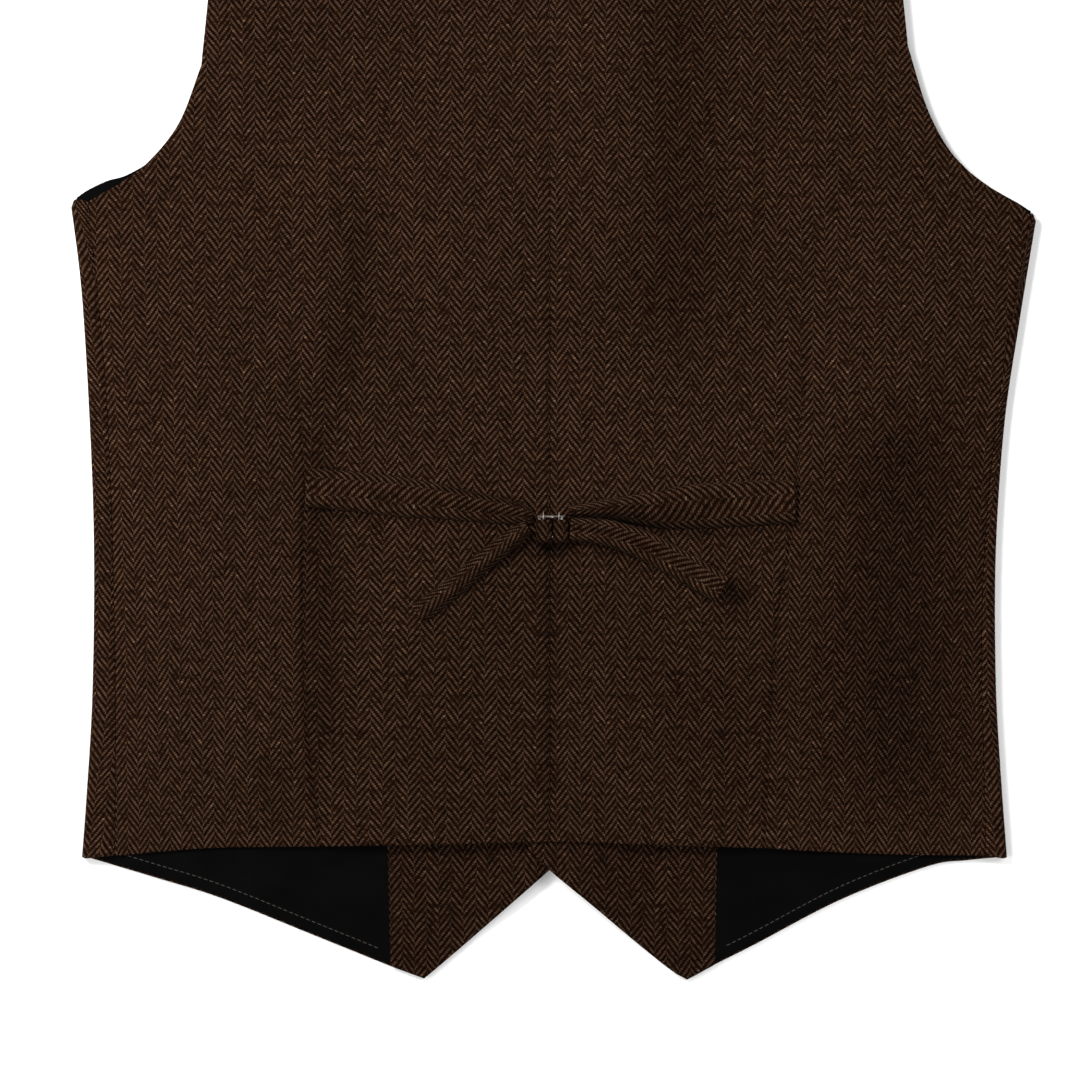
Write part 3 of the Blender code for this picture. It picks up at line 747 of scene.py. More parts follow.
def front_plan(half):
    """Grids of a front: front edge to hem point, to facing line, to side fold and armhole."""
    edge_out = FRONT_EDGE[half]
    top_edge = shoulder(half, FOLD_RADIUS)
    corner, turn = (edge_out, FRONT_CORNER_Y), (edge_out, NECKLINE_Y)
    neckline = [turn] + NECKLINE + [tuple(top_edge[0])]
    edge = joined(
        spaced([corner, turn], side_steps()),
        spaced(neckline, steps(ROWS_UNDERARM + ROWS_ARMHOLE, 0.0, CROWD)),
    )
    tip = FRONT_HEM[half][-1]
    point = upright([tip], (tip[0], POINT_CHEST_Y), along(top_edge, POINT_SHOULDER_OUT))
    facing_hem = FACING_HEM[half]
    facing = upright([facing_hem], FACING_CHEST, along(top_edge, FACING_SHOULDER_OUT))
    fold = [(out - FOLD_RADIUS, y) for out, y in SIDE_FOLD[half]]
    underarm = FRONT_UNDERARM[half]
    middle = (SHOULDER_TIP[half][0] + FRONT_ARMHOLE_CURVE, ARMHOLE_MIDDLE_Y)
    side_line = spaced(fold[:-1] + [underarm[0]], side_steps())
    outer = armhole(side_line, underarm, middle, tuple(top_edge[1]))
    cells = (steps(FRONT_POINT, CROWD, 0.0), steps(FRONT_STRIP), steps(FRONT_OUTER, 0.0, CROWD))
    hems = (
        spaced([corner] + FRONT_HEM[half], cells[0]),
        spaced([tip, facing_hem], cells[1]),
        spaced([facing_hem] + FRONT_HEM_OUTER[half] + [tuple(outer[0])], cells[2]),
    )
    lines = (edge, point, facing, outer)
    stretches = []
    for hem, shares, first, last in zip(hems, cells, lines, lines[1:]):
        top = spaced([tuple(first[-1]), tuple(last[-1])], shares)
        stretches.append(patch(hem, top, first, last))
    return np.concatenate([stretches[0], stretches[1][1:], stretches[2][1:]])


# ---- heights ----


def back_level(out, y):
    """Outer face of the back without its creases."""
    crown = 0.5 + 0.5 * np.cos(math.pi * np.clip(np.abs(out) / CROWN_REACH, 0, 1))
    low_neck = 1 - ease(y, OVERLAP_TOP_Y, CROWN_END_Y)
    return SIDE_TOP + (CENTRE_TOP - SIDE_TOP) * crown * low_neck


def front_level(half, plan):
    """Outer face of a front, which rises over the buttons or over the other front."""
    from_button_line = np.abs(SIDES[half] * plan[..., 0] - CENTRE_FRONT_X)
    raised = 1 - ease(from_button_line, LIFT_FLAT, LIFT_END[half])
    return FRONT_LIFT[half] * raised * (1 - ease(plan[..., 1], OVERLAP_TOP_Y, LIFT_END_Y))


def creased(creases, x, y):
    """Depth of soft troughs, or share of painted shade and light, at each point: each fades out sideways and
    towards its two ends.
    """
    total = np.zeros(x.shape)
    for points, width, depth in creases:
        line = spaced(points, steps(24))
        nearest = np.full(x.shape, 1e9)
        share = np.zeros(x.shape)
        for count, (px, py) in enumerate(line):
            distance = (x - px) ** 2 + (y - py) ** 2
            closer = distance < nearest
            nearest = np.where(closer, distance, nearest)
            share = np.where(closer, count / (len(line) - 1), share)
        ends = ease(share, 0.0, 0.25) * (1 - ease(share, 0.75, 1.0))
        ends = 0.25 + 0.75 * ends
        total += depth * ends * np.exp(-nearest / (width * width))
    return total


def from_grid_edge(grid, axis, last):
    """Distance of each point from one edge of its grid, along its own line."""
    lines = np.swapaxes(grid, 0, axis)
    lines = lines[::-1] if last else lines
    lengths = np.linalg.norm(np.diff(lines, axis=0), axis=-1)
    total = np.concatenate([np.zeros((1,) + lengths.shape[1:]), np.cumsum(lengths, axis=0)])
    total = total[::-1] if last else total
    return np.swapaxes(total, 0, axis) if axis else total


def rounded(grid, edges):
    """How far the outer face turns in at its free edges: (axis, last) of each."""
    drop = np.zeros(grid.shape[:2])
    for axis, last in edges:
        away = from_grid_edge(grid[..., :2], axis, last)
        drop = np.maximum(drop, EDGE_DROP * np.clip(1 - away / EDGE_ROUND, 0, 1) ** 2)
    return drop


def with_level(plan, level):
    return np.concatenate([plan, level[..., None]], axis=2)


def pulled_in(grid, margins):
    """The grid with its four edges drawn in along its own lines: first and last column, then rows."""
    moved = grid.copy()
    for axis, (first, last) in ((0, margins[:2]), (1, margins[2:])):
        lines = np.swapaxes(moved, 0, axis)
        for edge, inner, margin in ((0, 1, first), (-1, -2, last)):
            if not margin:
                continue
            away = from_grid_edge(lines[..., :2], 0, edge == -1)[..., None]
            reach = 4 * margin
            share = np.clip(1 - away / reach, 0, 1)
            step = lines[inner] - lines[edge]
            step = step / np.linalg.norm(step, axis=-1, keepdims=True)
            lines += step[None] * margin * share
    return moved


# ---- meshes ----


def placed(half, points):
    """Points of one half, in metres in the frame of the finished part."""
    side = SIDES.get(half, 1)
    moved = np.array(points, float)
    moved[..., 0] = side * moved[..., 0] + SHIFT_X
    moved[..., 1] += SHIFT_Y
    return moved * METRE


def object_from(name, data, finish):
    mesh = bpy.data.meshes.new(name)
    data.to_mesh(mesh)
    data.free()
    mesh.shade_smooth()
    mesh.materials.append(finish)
    piece = bpy.data.objects.new(name, mesh)
    bpy.context.scene.collection.objects.link(piece)
    return piece


def apply_modifiers(piece):
    deselect()
    piece.select_set(True)
    bpy.context.view_layer.objects.active = piece
    for modifier in list(piece.modifiers):
        bpy.ops.object.modifier_apply(modifier=modifier.name)
    deselect()


def cloth_shell(name, half, grids, outside_up, thickness, finish):
    """A sheet from grids of its outer face and their places in the weave, with a wall behind it."""
    data = bmesh.new()
    weave = data.loops.layers.uv.new("weave")
    pressed = data.verts.layers.float.new("pressed")
    turned = (SIDES[half] < 0) == outside_up
    for grid, places in grids:
        points = placed(half, grid)
        verts = [[data.verts.new(point) for point in column] for column in points]
        # The back's outer face takes painted shade and painted light from the listed patches.
        if outside_up:
            darkness = creased(PAINTED_SHADE_AND_LIGHT, SIDES[half] * grid[..., 0], grid[..., 1])
            for column, values in zip(verts, darkness):
                for vertex, value in zip(column, values):
                    vertex[pressed] = min(value, DARKEST_PAINTED_SHADE)
        for c in range(len(verts) - 1):
            for r in range(len(verts[0]) - 1):
                corners = [(c, r), (c + 1, r), (c + 1, r + 1), (c, r + 1)]
                corners = corners[::-1] if turned else corners
                face = data.faces.new([verts[i][j] for i, j in corners])
                for loop, (i, j) in zip(face.loops, corners):
                    loop[weave].uv = places[i, j] * METRE
    bmesh.ops.remove_doubles(data, verts=data.verts, dist=0.01 * METRE)
    piece = object_from(name, data, finish)
    wall = piece.modifiers.new("wall", "SOLIDIFY")
    wall.thickness = thickness * METRE
    wall.offset = -1
    wall.use_even_offset = True
    apply_modifiers(piece)
    for vertex in piece.data.vertices:
        vertex.co.z = max(vertex.co.z, 0.0)
    piece.data.set_sharp_from_angle(angle=math.radians(62))
    return piece


def hand_over(piece, node, cut=None):
    """Hang a piece under the root and hide the CAD node it stands for. The cut (width, length, area) is not
    used.
    """
    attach(piece, "root")
    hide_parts(node)


def enclosed(points):
    """Area inside a line that closes on itself, in square metres."""
    x, y = np.array(points, float).T
    doubled = abs(np.dot(x, np.roll(y, -1)) - np.dot(y, np.roll(x, -1)))
    return round(doubled / 2 * METRE**2, 4)


def cut_of(panel, half):
    """Width, length and flat area of a panel's cut without allowances, from the lines round it."""
    tip = SHOULDER_TIP[half]
    fold, underarm = SIDE_FOLD[half], FRONT_UNDERARM[half]
    if panel == "back":
        side = SIDE_SEAM[half][1:] + BACK_UNDERARM[half]
        top = [(tip[0] + BACK_ARMHOLE_CURVE, ARMHOLE_MIDDLE_Y)]
        top += [(out, y - SHOULDER_BACK) for out, y in (tip, NECK_POINT)]
        neck = [(NECK_MIDDLE_OUT, NECK_BACK_Y + NECK_RISE), (0, NECK_BACK_Y)]
        area = enclosed(BACK_HEM[half] + BACK_HEM_OUTER[half][1:] + side + top + neck)
        return (*CUT_SIZE[panel], area)
    edge = (FRONT_EDGE[half], FRONT_CORNER_Y)
    arm = underarm + [(tip[0] + FRONT_ARMHOLE_CURVE, ARMHOLE_MIDDLE_Y), tip]
    neckline = [NECK_POINT] + NECKLINE[::-1] + [(FRONT_EDGE[half], NECKLINE_Y)]
    inner = FRONT_HEM[half]
    facing_line = [FACING_HEM[half], FACING_CHEST, (FACING_SHOULDER_OUT, FACING_TOP_Y)]
    lines = {
        "front": [edge] + inner + FRONT_HEM_OUTER[half] + fold + arm + neckline,
        "facing": [edge] + inner + facing_line + neckline,
        "lining": facing_line[:1] + FRONT_HEM_OUTER[half] + fold + arm + facing_line[:0:-1],
    }
    area = enclosed(lines[panel])
    if panel == "front":
        area = round(area + enclosed(fold + SIDE_SEAM[half][::-1]), 4)
    return (*CUT_SIZE[panel], area)


def weave_drawn(half, out, y, beyond_dart):
    """Place across the weave: stretched between seam and dart, and eased in towards the side."""
    low = 1 - ease(y, *WEAVE_DRAW_Y)
    inner_share = 1 / (1 + INNER_DRAW[half] * low)
    if not beyond_dart:
        return out * inner_share
    dart = np.array(DART[half], float)
    dart_out = np.interp(y, dart[:, 1], dart[:, 0])
    beyond = np.maximum(out - dart_out, 0)
    closed = ease(y, DART_TOP_Y - WEAVE_CLOSE, DART_TOP_Y)
    shift = dart_out * (1 - inner_share) * closed * (1 - ease(beyond, 0, WEAVE_SETTLE))
    return out - shift + low * OUTER_DRAW[half] * beyond * (0.6 + 0.5 * beyond / 100)


def back_weave(half, plan, beyond_dart):
    across = weave_drawn(half, plan[..., 0], plan[..., 1], beyond_dart) + WEAVE_START[half]
    depth, reach = WEAVE_SAG
    sag = depth * (plan[..., 0] / reach) ** 2
    return np.stack([across, plan[..., 1] + sag], axis=2)


def make_back(half, finish):
    inner, outer = back_plan(half)
    grids = []
    for count, plan in enumerate((inner, outer)):
        out, y = plan[..., 0], plan[..., 1]
        level = back_level(out, y)
        from_inner = from_grid_edge(plan, 0, False)
        from_outer = from_grid_edge(plan, 0, True)
        width = from_inner + from_outer
        swell = np.clip(np.sin(math.pi * from_inner / width), 0, 1) ** 0.7
        level = level + BILLOW * swell * ease(y, 0, BILLOW_FULL_Y)
        creases = creased(BACK_CREASES, SIDES[half] * out, y)
        level -= creases * ease(from_outer, 0, CREASE_FROM_SEAM)
        dart_open = 1 - ease(y, DART_TOP_Y - DART_FADE, DART_TOP_Y)
        seam, dart = (from_inner, from_outer) if count == 0 else (from_outer, from_inner)
        depth, reach = SEAM_DIP if count == 0 else SIDE_SEAM_DIP
        level -= depth * np.exp(-((seam / reach) ** 2))
        depth, reach = DART_DIP
        level -= dart_open * depth * np.exp(-((dart / reach) ** 2))
        level -= rounded(plan, [(1, False), (1, True)])
        grids.append((with_level(plan, level), back_weave(half, plan, count == 1)))
    return cloth_shell(f"back_cloth_{half}", half, grids, True, CLOTH, finish)


def folded(edge, edge_place, outwards):
    """Copies of an edge that carry it half round a fold, and their places in the weave."""
    lines, weaves = [edge], [edge_place]
    for step in range(1, FOLD_CELLS + 1):
        angle = math.pi * step / FOLD_CELLS
        reach = math.sin(angle) * np.append(outwards, 0) + np.array([0, 0, 1 - math.cos(angle)])
        lines.append(edge + reach * FOLD_RADIUS)
        weaves.append(edge_place + np.array(outwards) * angle * FOLD_RADIUS)
    return lines, weaves


def side_wrap(half, front, places):
    """Columns that carry a front round its side fold and back to the side seam, with their weave."""
    last = ROWS_SIDE + 1
    columns, weaves = folded(front[-1, :last], places[-1, :last], (1, 0))
    seam_plan = spaced([(out + GAP / 2, y) for out, y in SIDE_SEAM[half]], side_steps())
    seam = np.column_stack([seam_plan, np.full(last, SIDE_TOP)])
    turned, turned_place = columns[-1], weaves[-1]
    across = steps(WRAP_CELLS, 0.0, CROWD)[1:]
    distance = np.linalg.norm(seam[:, :2] - turned[:, :2], axis=1)
    depth, reach = SIDE_SEAM_DIP
    for share in across:
        column = turned + share * (seam - turned)
        away = distance * (1 - share)
        valley = depth * np.exp(-((away / reach) ** 2))
        column[:, 2] += WRAP_SWELL * math.sin(math.pi * share) - valley
        columns.append(column)
        weaves.append(turned_place + np.column_stack([distance * share, np.zeros(last)]))
    return np.array(columns), np.array(weaves)


def shoulder_wrap(front, places):
    """Rows that carry a front over its shoulder to the seam on the back, with their weave."""
    rows, weaves = folded(front[:, -1], places[:, -1], (0, 1))
    reach = SHOULDER_BACK - FOLD_RADIUS - GAP / 2
    turned, turned_place = rows[-1], weaves[-1]
    for share in steps(SHOULDER_CELLS, 0.0, CROWD)[1:]:
        rows.append(turned - np.array([0, reach * share, SHOULDER_DIP * share**4]))
        weaves.append(turned_place + np.array([0, reach * share]))
    return np.stack(rows, axis=1), np.stack(weaves, axis=1)


def corner_rounded(half, grid):
    """The grid with the corner between side fold and underarm drawn in to a small round."""
    top = np.array(UNDERARM_CORNER[half])
    centre = top - UNDERARM_ROUND
    away = grid[..., :2] - centre
    reach = np.linalg.norm(away, axis=-1)
    beyond = (away[..., 0] > 0) & (away[..., 1] > 0) & (reach > UNDERARM_ROUND)
    pull = np.where(beyond, UNDERARM_ROUND / np.maximum(reach, 1e-6), 1.0)
    moved = grid.copy()
    moved[..., :2] = centre + away * pull[..., None]
    return moved


def front_shape(half):
    """Outer face of a front and its places in the weave."""
    plan = front_plan(half)
    level = front_level(half, plan)
    level -= creased(FRONT_CREASES, SIDES[half] * plan[..., 0], plan[..., 1])
    free = 1 - ease(from_grid_edge(plan, 0, True), 0, FREE_REACH)
    level = level * (1 - free) + free * front_level(half, plan)
    places = np.stack([plan[..., 0] + WEAVE_START[half] + FRONT_WALES * WALE, plan[..., 1]], axis=2)
    return with_level(plan, level), places


def make_front(half, finishes):
    front, places = front_shape(half)
    # The outer face looks down, so its free edges turn up.
    shell = front.copy()
    shell[..., 2] += rounded(front, [(0, False), (1, False)])
    wrap, wrap_places = side_wrap(half, shell, places)
    grids = [
        (corner_rounded(half, shell), places),
        (corner_rounded(half, wrap), wrap_places),
        shoulder_wrap(shell, places),
    ]
    cloth = cloth_shell(f"front_cloth_{half}", half, grids, False, CLOTH, finishes["cloth"])

    inlay = front + np.array([0, 0, INLAY])
    column = FRONT_POINT + FRONT_STRIP
    margins = (EDGE_TO_FACING, GAP / 2, EDGE_TO_FACING, INLAY)
    facing_grid = pulled_in(inlay[: column + 1], margins)
    free_edges = [(0, False), (0, True), (1, False)]
    facing_grid[..., 2] -= rounded(facing_grid, free_edges) * FACING_TURN
    facing_place = places[: column + 1]
    grids = [(facing_grid, facing_place)]
    facing = cloth_shell(f"facing_cloth_{half}", half, grids, False, LINING, finishes["facing"])
    margins = (GAP / 2, EDGE_TO_LINING, EDGE_TO_LINING, INLAY)
    lining_grid = pulled_in(inlay[column:], margins)
    from_stitches = from_grid_edge(lining_grid, 1, False) - STITCH_TO_EDGE
    height, waves, reach = PUCKER
    pucker = np.sin(lining_grid[..., 0] * waves) * np.exp(-((from_stitches / reach) ** 2)) * height
    depth, reach = SEWN_DIP
    lining_grid[..., 2] += pucker - depth * np.exp(-((from_stitches / reach) ** 2))
    grids = [(lining_grid, places[column:])]
    lining = cloth_shell(f"lining_cloth_{half}", half, grids, False, LINING, finishes["lining"])
    return cloth, facing, lining, lining_grid


def banded(bands, across, grown):
    """Sum of lengthwise bands at places across a strap, each between its start and end value."""
    total = np.zeros(len(across))
    for place, reach, start, stop in bands:
        total += (start + (stop - start) * grown) * np.exp(-(((across - place) / reach) ** 2))
    return total


def make_strap(name, rows, finish):
    """A belt strap: a flat tube of cloth with rolled edges and soft lengthwise folds."""
    table = spaced(rows, steps(RIBBON_CELLS, 0.5, 0.5))
    middle = table[:, :2]
    direction = np.gradient(middle, axis=0)
    direction /= np.linalg.norm(direction, axis=1, keepdims=True)
    sideways = np.column_stack([-direction[:, 1], direction[:, 0]])
    lengths = run_lengths(middle)
    total = lengths[-1]
    turn = np.linspace(0, 2 * math.pi, 2 * RIBBON_ACROSS, endpoint=False)
    data = bmesh.new()
    weave = data.loops.layers.uv.new("weave")
    pressed = data.verts.layers.float.new("pressed")
    rings, places = [], []
    for (x, y, width, lift, thick), side, share in zip(table, sideways, lengths / total):
        across = np.cos(turn)
        roll = np.sign(np.sin(turn)) * np.abs(np.sin(turn)) ** STRAP_ROLL
        fold = banded(STRAP_FOLDS[name], across, ease(share, 0.15, 0.95))
        px = x + side[0] * width / 2 * across
        py = y + side[1] * width / 2 * across
        ground = back_level(px, py) + STRAP_GAP + lift
        core = ground + thick / 2
        top = core + thick / 2 * roll + np.maximum(fold, -thick * FOLD_BELOW) * FOLD_SHOWN
        below = core + thick / 2 * roll + np.clip(fold, 0, 1.0) * FOLD_BELOW
        z = np.where(roll > 0, top, below)
        end_taper = ease(min(share, 1 - share) * total, 0.0, 0.8)
        z = core + (z - core) * (1 - END_FLATTEN + END_FLATTEN * end_taper)
        points = placed(None, np.column_stack([px, py, z]))
        rings.append([data.verts.new(point) for point in points])
        # Painted shade in the strap's listed bands.
        shade = banded(STRAP_SHADE[name], across, ease(share, 0.1, 0.9))
        for vertex, value in zip(rings[-1], np.minimum(shade, DARKEST_PAINTED_SHADE)):
            vertex[pressed] = value
        unrolled = np.arange(len(turn) + 1) / len(turn) * 2 * STRAP_CUT
        places.append(np.column_stack([unrolled, np.full(len(turn) + 1, share * total)]))
    count = len(turn)
    for r in range(len(rings) - 1):
        for k in range(count):
            n = (k + 1) % count
            face = data.faces.new([rings[r][k], rings[r][n], rings[r + 1][n], rings[r + 1][k]])
            for loop, (i, j) in zip(face.loops, ((r, k), (r, k + 1), (r + 1, k + 1), (r + 1, k))):
                loop[weave].uv = places[i][j] * METRE
    for ring, place in ((rings[0][::-1], places[0]), (rings[-1], places[-1])):
        face = data.faces.new(ring)
        for loop in face.loops:
            loop[weave].uv = place[0] * METRE
    bmesh.ops.recalc_face_normals(data, faces=data.faces)
    piece = object_from(f"{name}_cloth", data, finish)
    piece.data.set_sharp_from_angle(angle=math.radians(70))
    return piece, total


def make_loop(name, ends, finish):
    """A cloth loop round the buckle's lower bar, open towards its upper bar."""
    outer = LOOP_INNER + CLOTH
    turns = np.radians(np.linspace(90, 270, 13))
    upper = [(y, LOOP_LEVEL + outer) for y in np.linspace(LOOP_OPEN_Y, LOOP_BEND_Y, 9)]
    bend = [(LOOP_BEND_Y + outer * math.cos(a), LOOP_LEVEL + outer * math.sin(a)) for a in turns[1:-1]]
    lower = [(y, LOOP_LEVEL - outer) for y in np.linspace(LOOP_BEND_Y, LOOP_OPEN_Y, 9)]
    profile = np.array(upper + bend + lower)
    lengths = run_lengths(profile)
    across = steps(LOOP_CELLS, CROWD, CROWD)
    grid, places = [], []
    middle = sum(ends) / 2
    for share in across:
        x = ends[0] + share * (ends[1] - ends[0])
        column = []
        for (y, z), length in zip(profile, lengths):
            pinch = 1 - LOOP_PINCH * ease(y, LOOP_BEND_Y, LOOP_OPEN_Y)
            dome = 0.25 * math.sin(math.pi * share) - 0.3 * (abs(2 * share - 1) ** 8)
            flip = 1 if z > LOOP_LEVEL else -1
            column.append((middle + (x - middle) * pinch, y, z + flip * min(dome, 0.0)))
        grid.append(column)
        places.append([(share * (ends[1] - ends[0]) + 1.5, length) for length in lengths])
    grids = [(np.array(grid), np.array(places))]
    loop = cloth_shell(f"{name}_cloth", "right", grids, False, CLOTH, finish)
    edges = [spot(x, 0, 0).x for x in ends]
    # Painted shade over each loop, deepest at its two edges.
    for vertex, shade in zip(loop.data.vertices, loop.data.attributes["pressed"].data):
        inside = min(vertex.co.x - edges[0], edges[1] - vertex.co.x) / METRE
        shade.value = LOOP_SHADE + LOOP_EDGE_SHADE * math.exp(-inside * inside)
    return loop, lengths[-1]


# ---- hard pieces ----


def spot(x, y, z):
    return Vector(((x + SHIFT_X) * METRE, (y + SHIFT_Y) * METRE, z * METRE))


def settle():
    """Put the place and turn of the object in hand into its mesh."""
    bpy.ops.object.transform_apply(location=True, rotation=True, scale=True)


def united(pieces, name):
    """One piece of several."""
    deselect()
    for piece in pieces:
        piece.select_set(True)
    bpy.context.view_layer.objects.active = pieces[0]
    bpy.ops.object.join()
    pieces[0].name = name
    deselect()
    return pieces[0]


def start_editing():
    bpy.ops.object.mode_set(mode="EDIT")
    bpy.ops.mesh.select_all(action="SELECT")


def finished(name, finish, smooth_angle=40):
    """Close the piece in hand: normals, place, smooth faces, name and finish."""
    bpy.ops.mesh.select_all(action="SELECT")
    bpy.ops.mesh.remove_doubles(threshold=0.00001)
    bpy.ops.mesh.normals_make_consistent(inside=False)
    bpy.ops.object.mode_set(mode="OBJECT")
    settle()
    bpy.ops.object.shade_smooth_by_angle(angle=math.radians(smooth_angle))
    piece = bpy.context.active_object
    piece.name = name
    piece.data.name = name
    piece.data.materials.clear()
    piece.data.materials.append(finish)
    deselect()
    return piece


def drawn_wire(name, points, radii, sides, finish):
    """A round wire drawn along a line of points, thicker or thinner from one to the next."""
    deselect()
    ahead = (points[1] - points[0]).normalized()
    turn = Vector((0, 0, 1)).rotation_difference(ahead).to_euler()
    bpy.ops.mesh.primitive_circle_add(
        vertices=sides, radius=radii[0], fill_type="NGON", location=points[0], rotation=turn
    )
    settle()
    start_editing()
    for before, here, old, new in zip(points, points[1:], radii, radii[1:]):
        bpy.ops.mesh.extrude_region_move(TRANSFORM_OT_translate={"value": here - before})
        size = new / old
        bpy.ops.transform.resize(value=(size, size, size), center_override=here)
    return finished(name, finish)


def make_buckle(finish):
    """A bent wire frame with two prongs that rest on its upper bar."""
    deselect()
    (x0, x1), (y0, y1) = BUCKLE_X, BUCKLE_Y
    bend = BUCKLE_CORNER
    bpy.ops.mesh.primitive_circle_add(
        vertices=14,
        radius=BUCKLE_BAR * METRE,
        location=spot(x0 + bend, y0, LOOP_LEVEL),
        rotation=(0, math.pi / 2, 0),
    )
    settle()
    start_editing()
    width, height = x1 - x0 - 2 * bend, y1 - y0 - 2 * bend
    sides = (
        ((width, 0), (x1 - bend, y0 + bend)),
        ((0, height), (x1 - bend, y1 - bend)),
        ((-width, 0), (x0 + bend, y1 - bend)),
        ((0, -height), (x0 + bend, y0 + bend)),
    )
    for (dx, dy), (cx, cy) in sides:
        move = Vector((dx, dy, 0)) * METRE
        bpy.ops.mesh.extrude_region_move(TRANSFORM_OT_translate={"value": move})
        bpy.ops.mesh.spin(steps=6, angle=math.pi / 2, center=spot(cx, cy, LOOP_LEVEL), axis=(0, 0, 1))
    parts = [finished("buckle_frame", finish)]
    for count, x in enumerate(PRONG_X):
        points = [spot(x, y, LOOP_LEVEL + rise) for y, rise, _ in PRONG_PATH]
        radii = [radius * METRE for _, _, radius in PRONG_PATH]
        parts.append(drawn_wire(f"prong_{count}", points, radii, 10, finish))
    return united(parts, "buckle_wire")


def faces_facing(data, direction, level):
    """Faces with a normal along a direction whose middle lies at a level along it."""
    found = []
    for face in data.faces:
        off = abs(face.calc_center_median().dot(direction) - level)
        if face.normal.dot(direction) > 0.99 and off < 1e-5:
            found.append(face)
    return found


def make_button(finish):
    """A four-hole button, face down, at the lowest button's place."""
    deselect()
    centre = spot(CENTRE_FRONT_X, BUTTON_FIRST_Y, BUTTON_HEIGHT / 2)
    bpy.ops.mesh.primitive_cylinder_add(
        vertices=48, radius=BUTTON_RADIUS * METRE, depth=BUTTON_HEIGHT * METRE, location=centre
    )
    settle()
    bpy.ops.object.mode_set(mode="EDIT")
    bpy.ops.mesh.select_all(action="DESELECT")
    bpy.ops.mesh.select_mode(type="FACE")
    button = bpy.context.active_object
    data = bmesh.from_edit_mesh(button.data)
    for face in faces_facing(data, Vector((0, 0, -1)), 0.0):
        face.select_set(True)
    bmesh.update_edit_mesh(button.data)
    bpy.ops.mesh.inset(thickness=BUTTON_RIM * METRE, depth=0)
    bpy.ops.mesh.inset(thickness=BUTTON_SLOPE * METRE, depth=-BUTTON_DISH * METRE)
    button = finished("button", finish, 30)
    edge = button.modifiers.new("edge", "BEVEL")
    edge.width = BUTTON_EDGE * METRE
    edge.segments = 3
    edge.limit_method = "ANGLE"
    edge.angle_limit = math.radians(60)
    apply_modifiers(button)
    for count in range(4):
        angle = math.radians(45 + 90 * count)
        reach = BUTTON_HOLE_OFFSET * math.sqrt(2) * METRE
        place = centre + Vector((math.cos(angle), math.sin(angle), 0)) * reach
        bpy.ops.mesh.primitive_cylinder_add(
            vertices=16, radius=BUTTON_HOLE_RADIUS * METRE, depth=2 * BUTTON_HEIGHT * METRE, location=place
        )
        drill = bpy.context.active_object
        settle()
        cut = button.modifiers.new("hole", "BOOLEAN")
        cut.operation = "DIFFERENCE"
        cut.object = drill
        cut.solver = "EXACT"
        apply_modifiers(button)
        bpy.data.objects.remove(drill, do_unlink=True)
    return button


def make_button_thread(finish):
    """Two bars of thread between the holes of the lowest button, each rising through its two holes to just
    behind the button.
    """
    pieces = []
    low = BUTTON_DISH - 0.25
    for side in (-1, 1):
        x = CENTRE_FRONT_X + side * BUTTON_HOLE_OFFSET
        reach = BUTTON_HOLE_OFFSET
        path = [
            (x, BUTTON_FIRST_Y - reach, BUTTON_HEIGHT + 0.2),
            (x, BUTTON_FIRST_Y - reach, low + 0.5),
            (x, BUTTON_FIRST_Y - reach * 0.7, low + 0.05),
            (x, BUTTON_FIRST_Y, low),
            (x, BUTTON_FIRST_Y + reach * 0.7, low + 0.05),
            (x, BUTTON_FIRST_Y + reach, low + 0.5),
            (x, BUTTON_FIRST_Y + reach, BUTTON_HEIGHT + 0.2),
        ]
        radii = [0.5 * METRE] * len(path)
        points = [spot(*point) for point in path]
        pieces.append(drawn_wire(f"button_thread_{side}", points, radii, 8, finish))
    return united(pieces, "button_thread")


def copied(piece, name, shift):
    """A copy with its own mesh, moved by shift."""
    made = bpy.data.objects.new(name, piece.data.copy())
    made.data.transform(Matrix.Translation(shift))
    made.data.name = name
    bpy.context.scene.collection.objects.link(made)
    return made


def make_stitch(finish):
    """One stitch along x at the origin, with its ends drawn down."""
    deselect()
    bpy.ops.mesh.primitive_cylinder_add(
        vertices=6, radius=STITCH_RADIUS * METRE, depth=STITCH_LENGTH * METRE, rotation=(0, math.pi / 2, 0)
    )
    settle()
    start_editing()
    for share in (-0.3, 0.0, 0.3):
        bpy.ops.mesh.select_all(action="SELECT")
        bpy.ops.mesh.bisect(plane_co=(share * STITCH_LENGTH * METRE, 0, 0), plane_no=(1, 0, 0))
    stitch = finished("stitch", finish, 60)
    for vertex in stitch.data.vertices:
        share = abs(vertex.co.x) / (STITCH_LENGTH * METRE / 2)
        vertex.co.z -= STITCH_RADIUS * METRE * 1.1 * share**2
        vertex.co.y *= 1 - 0.4 * share**2
    return stitch


def sewn(name, stitch, places, finish):
    """One piece of many stitches: each place is a point, the way it points and the way it faces."""
    data = bmesh.new()
    for point, ahead, up in places:
        ahead, up = Vector(ahead).normalized(), Vector(up)
        side = up.cross(ahead).normalized()
        turn = Matrix((ahead, side, ahead.cross(side))).transposed().to_4x4()
        added = bmesh.new()
        added.from_mesh(stitch.data)
        added.transform(Matrix.Translation(point) @ turn)
        part = bpy.data.meshes.new("part")
        added.to_mesh(part)
        added.free()
        data.from_mesh(part)
        bpy.data.meshes.remove(part)
    return object_from(name, data, finish)


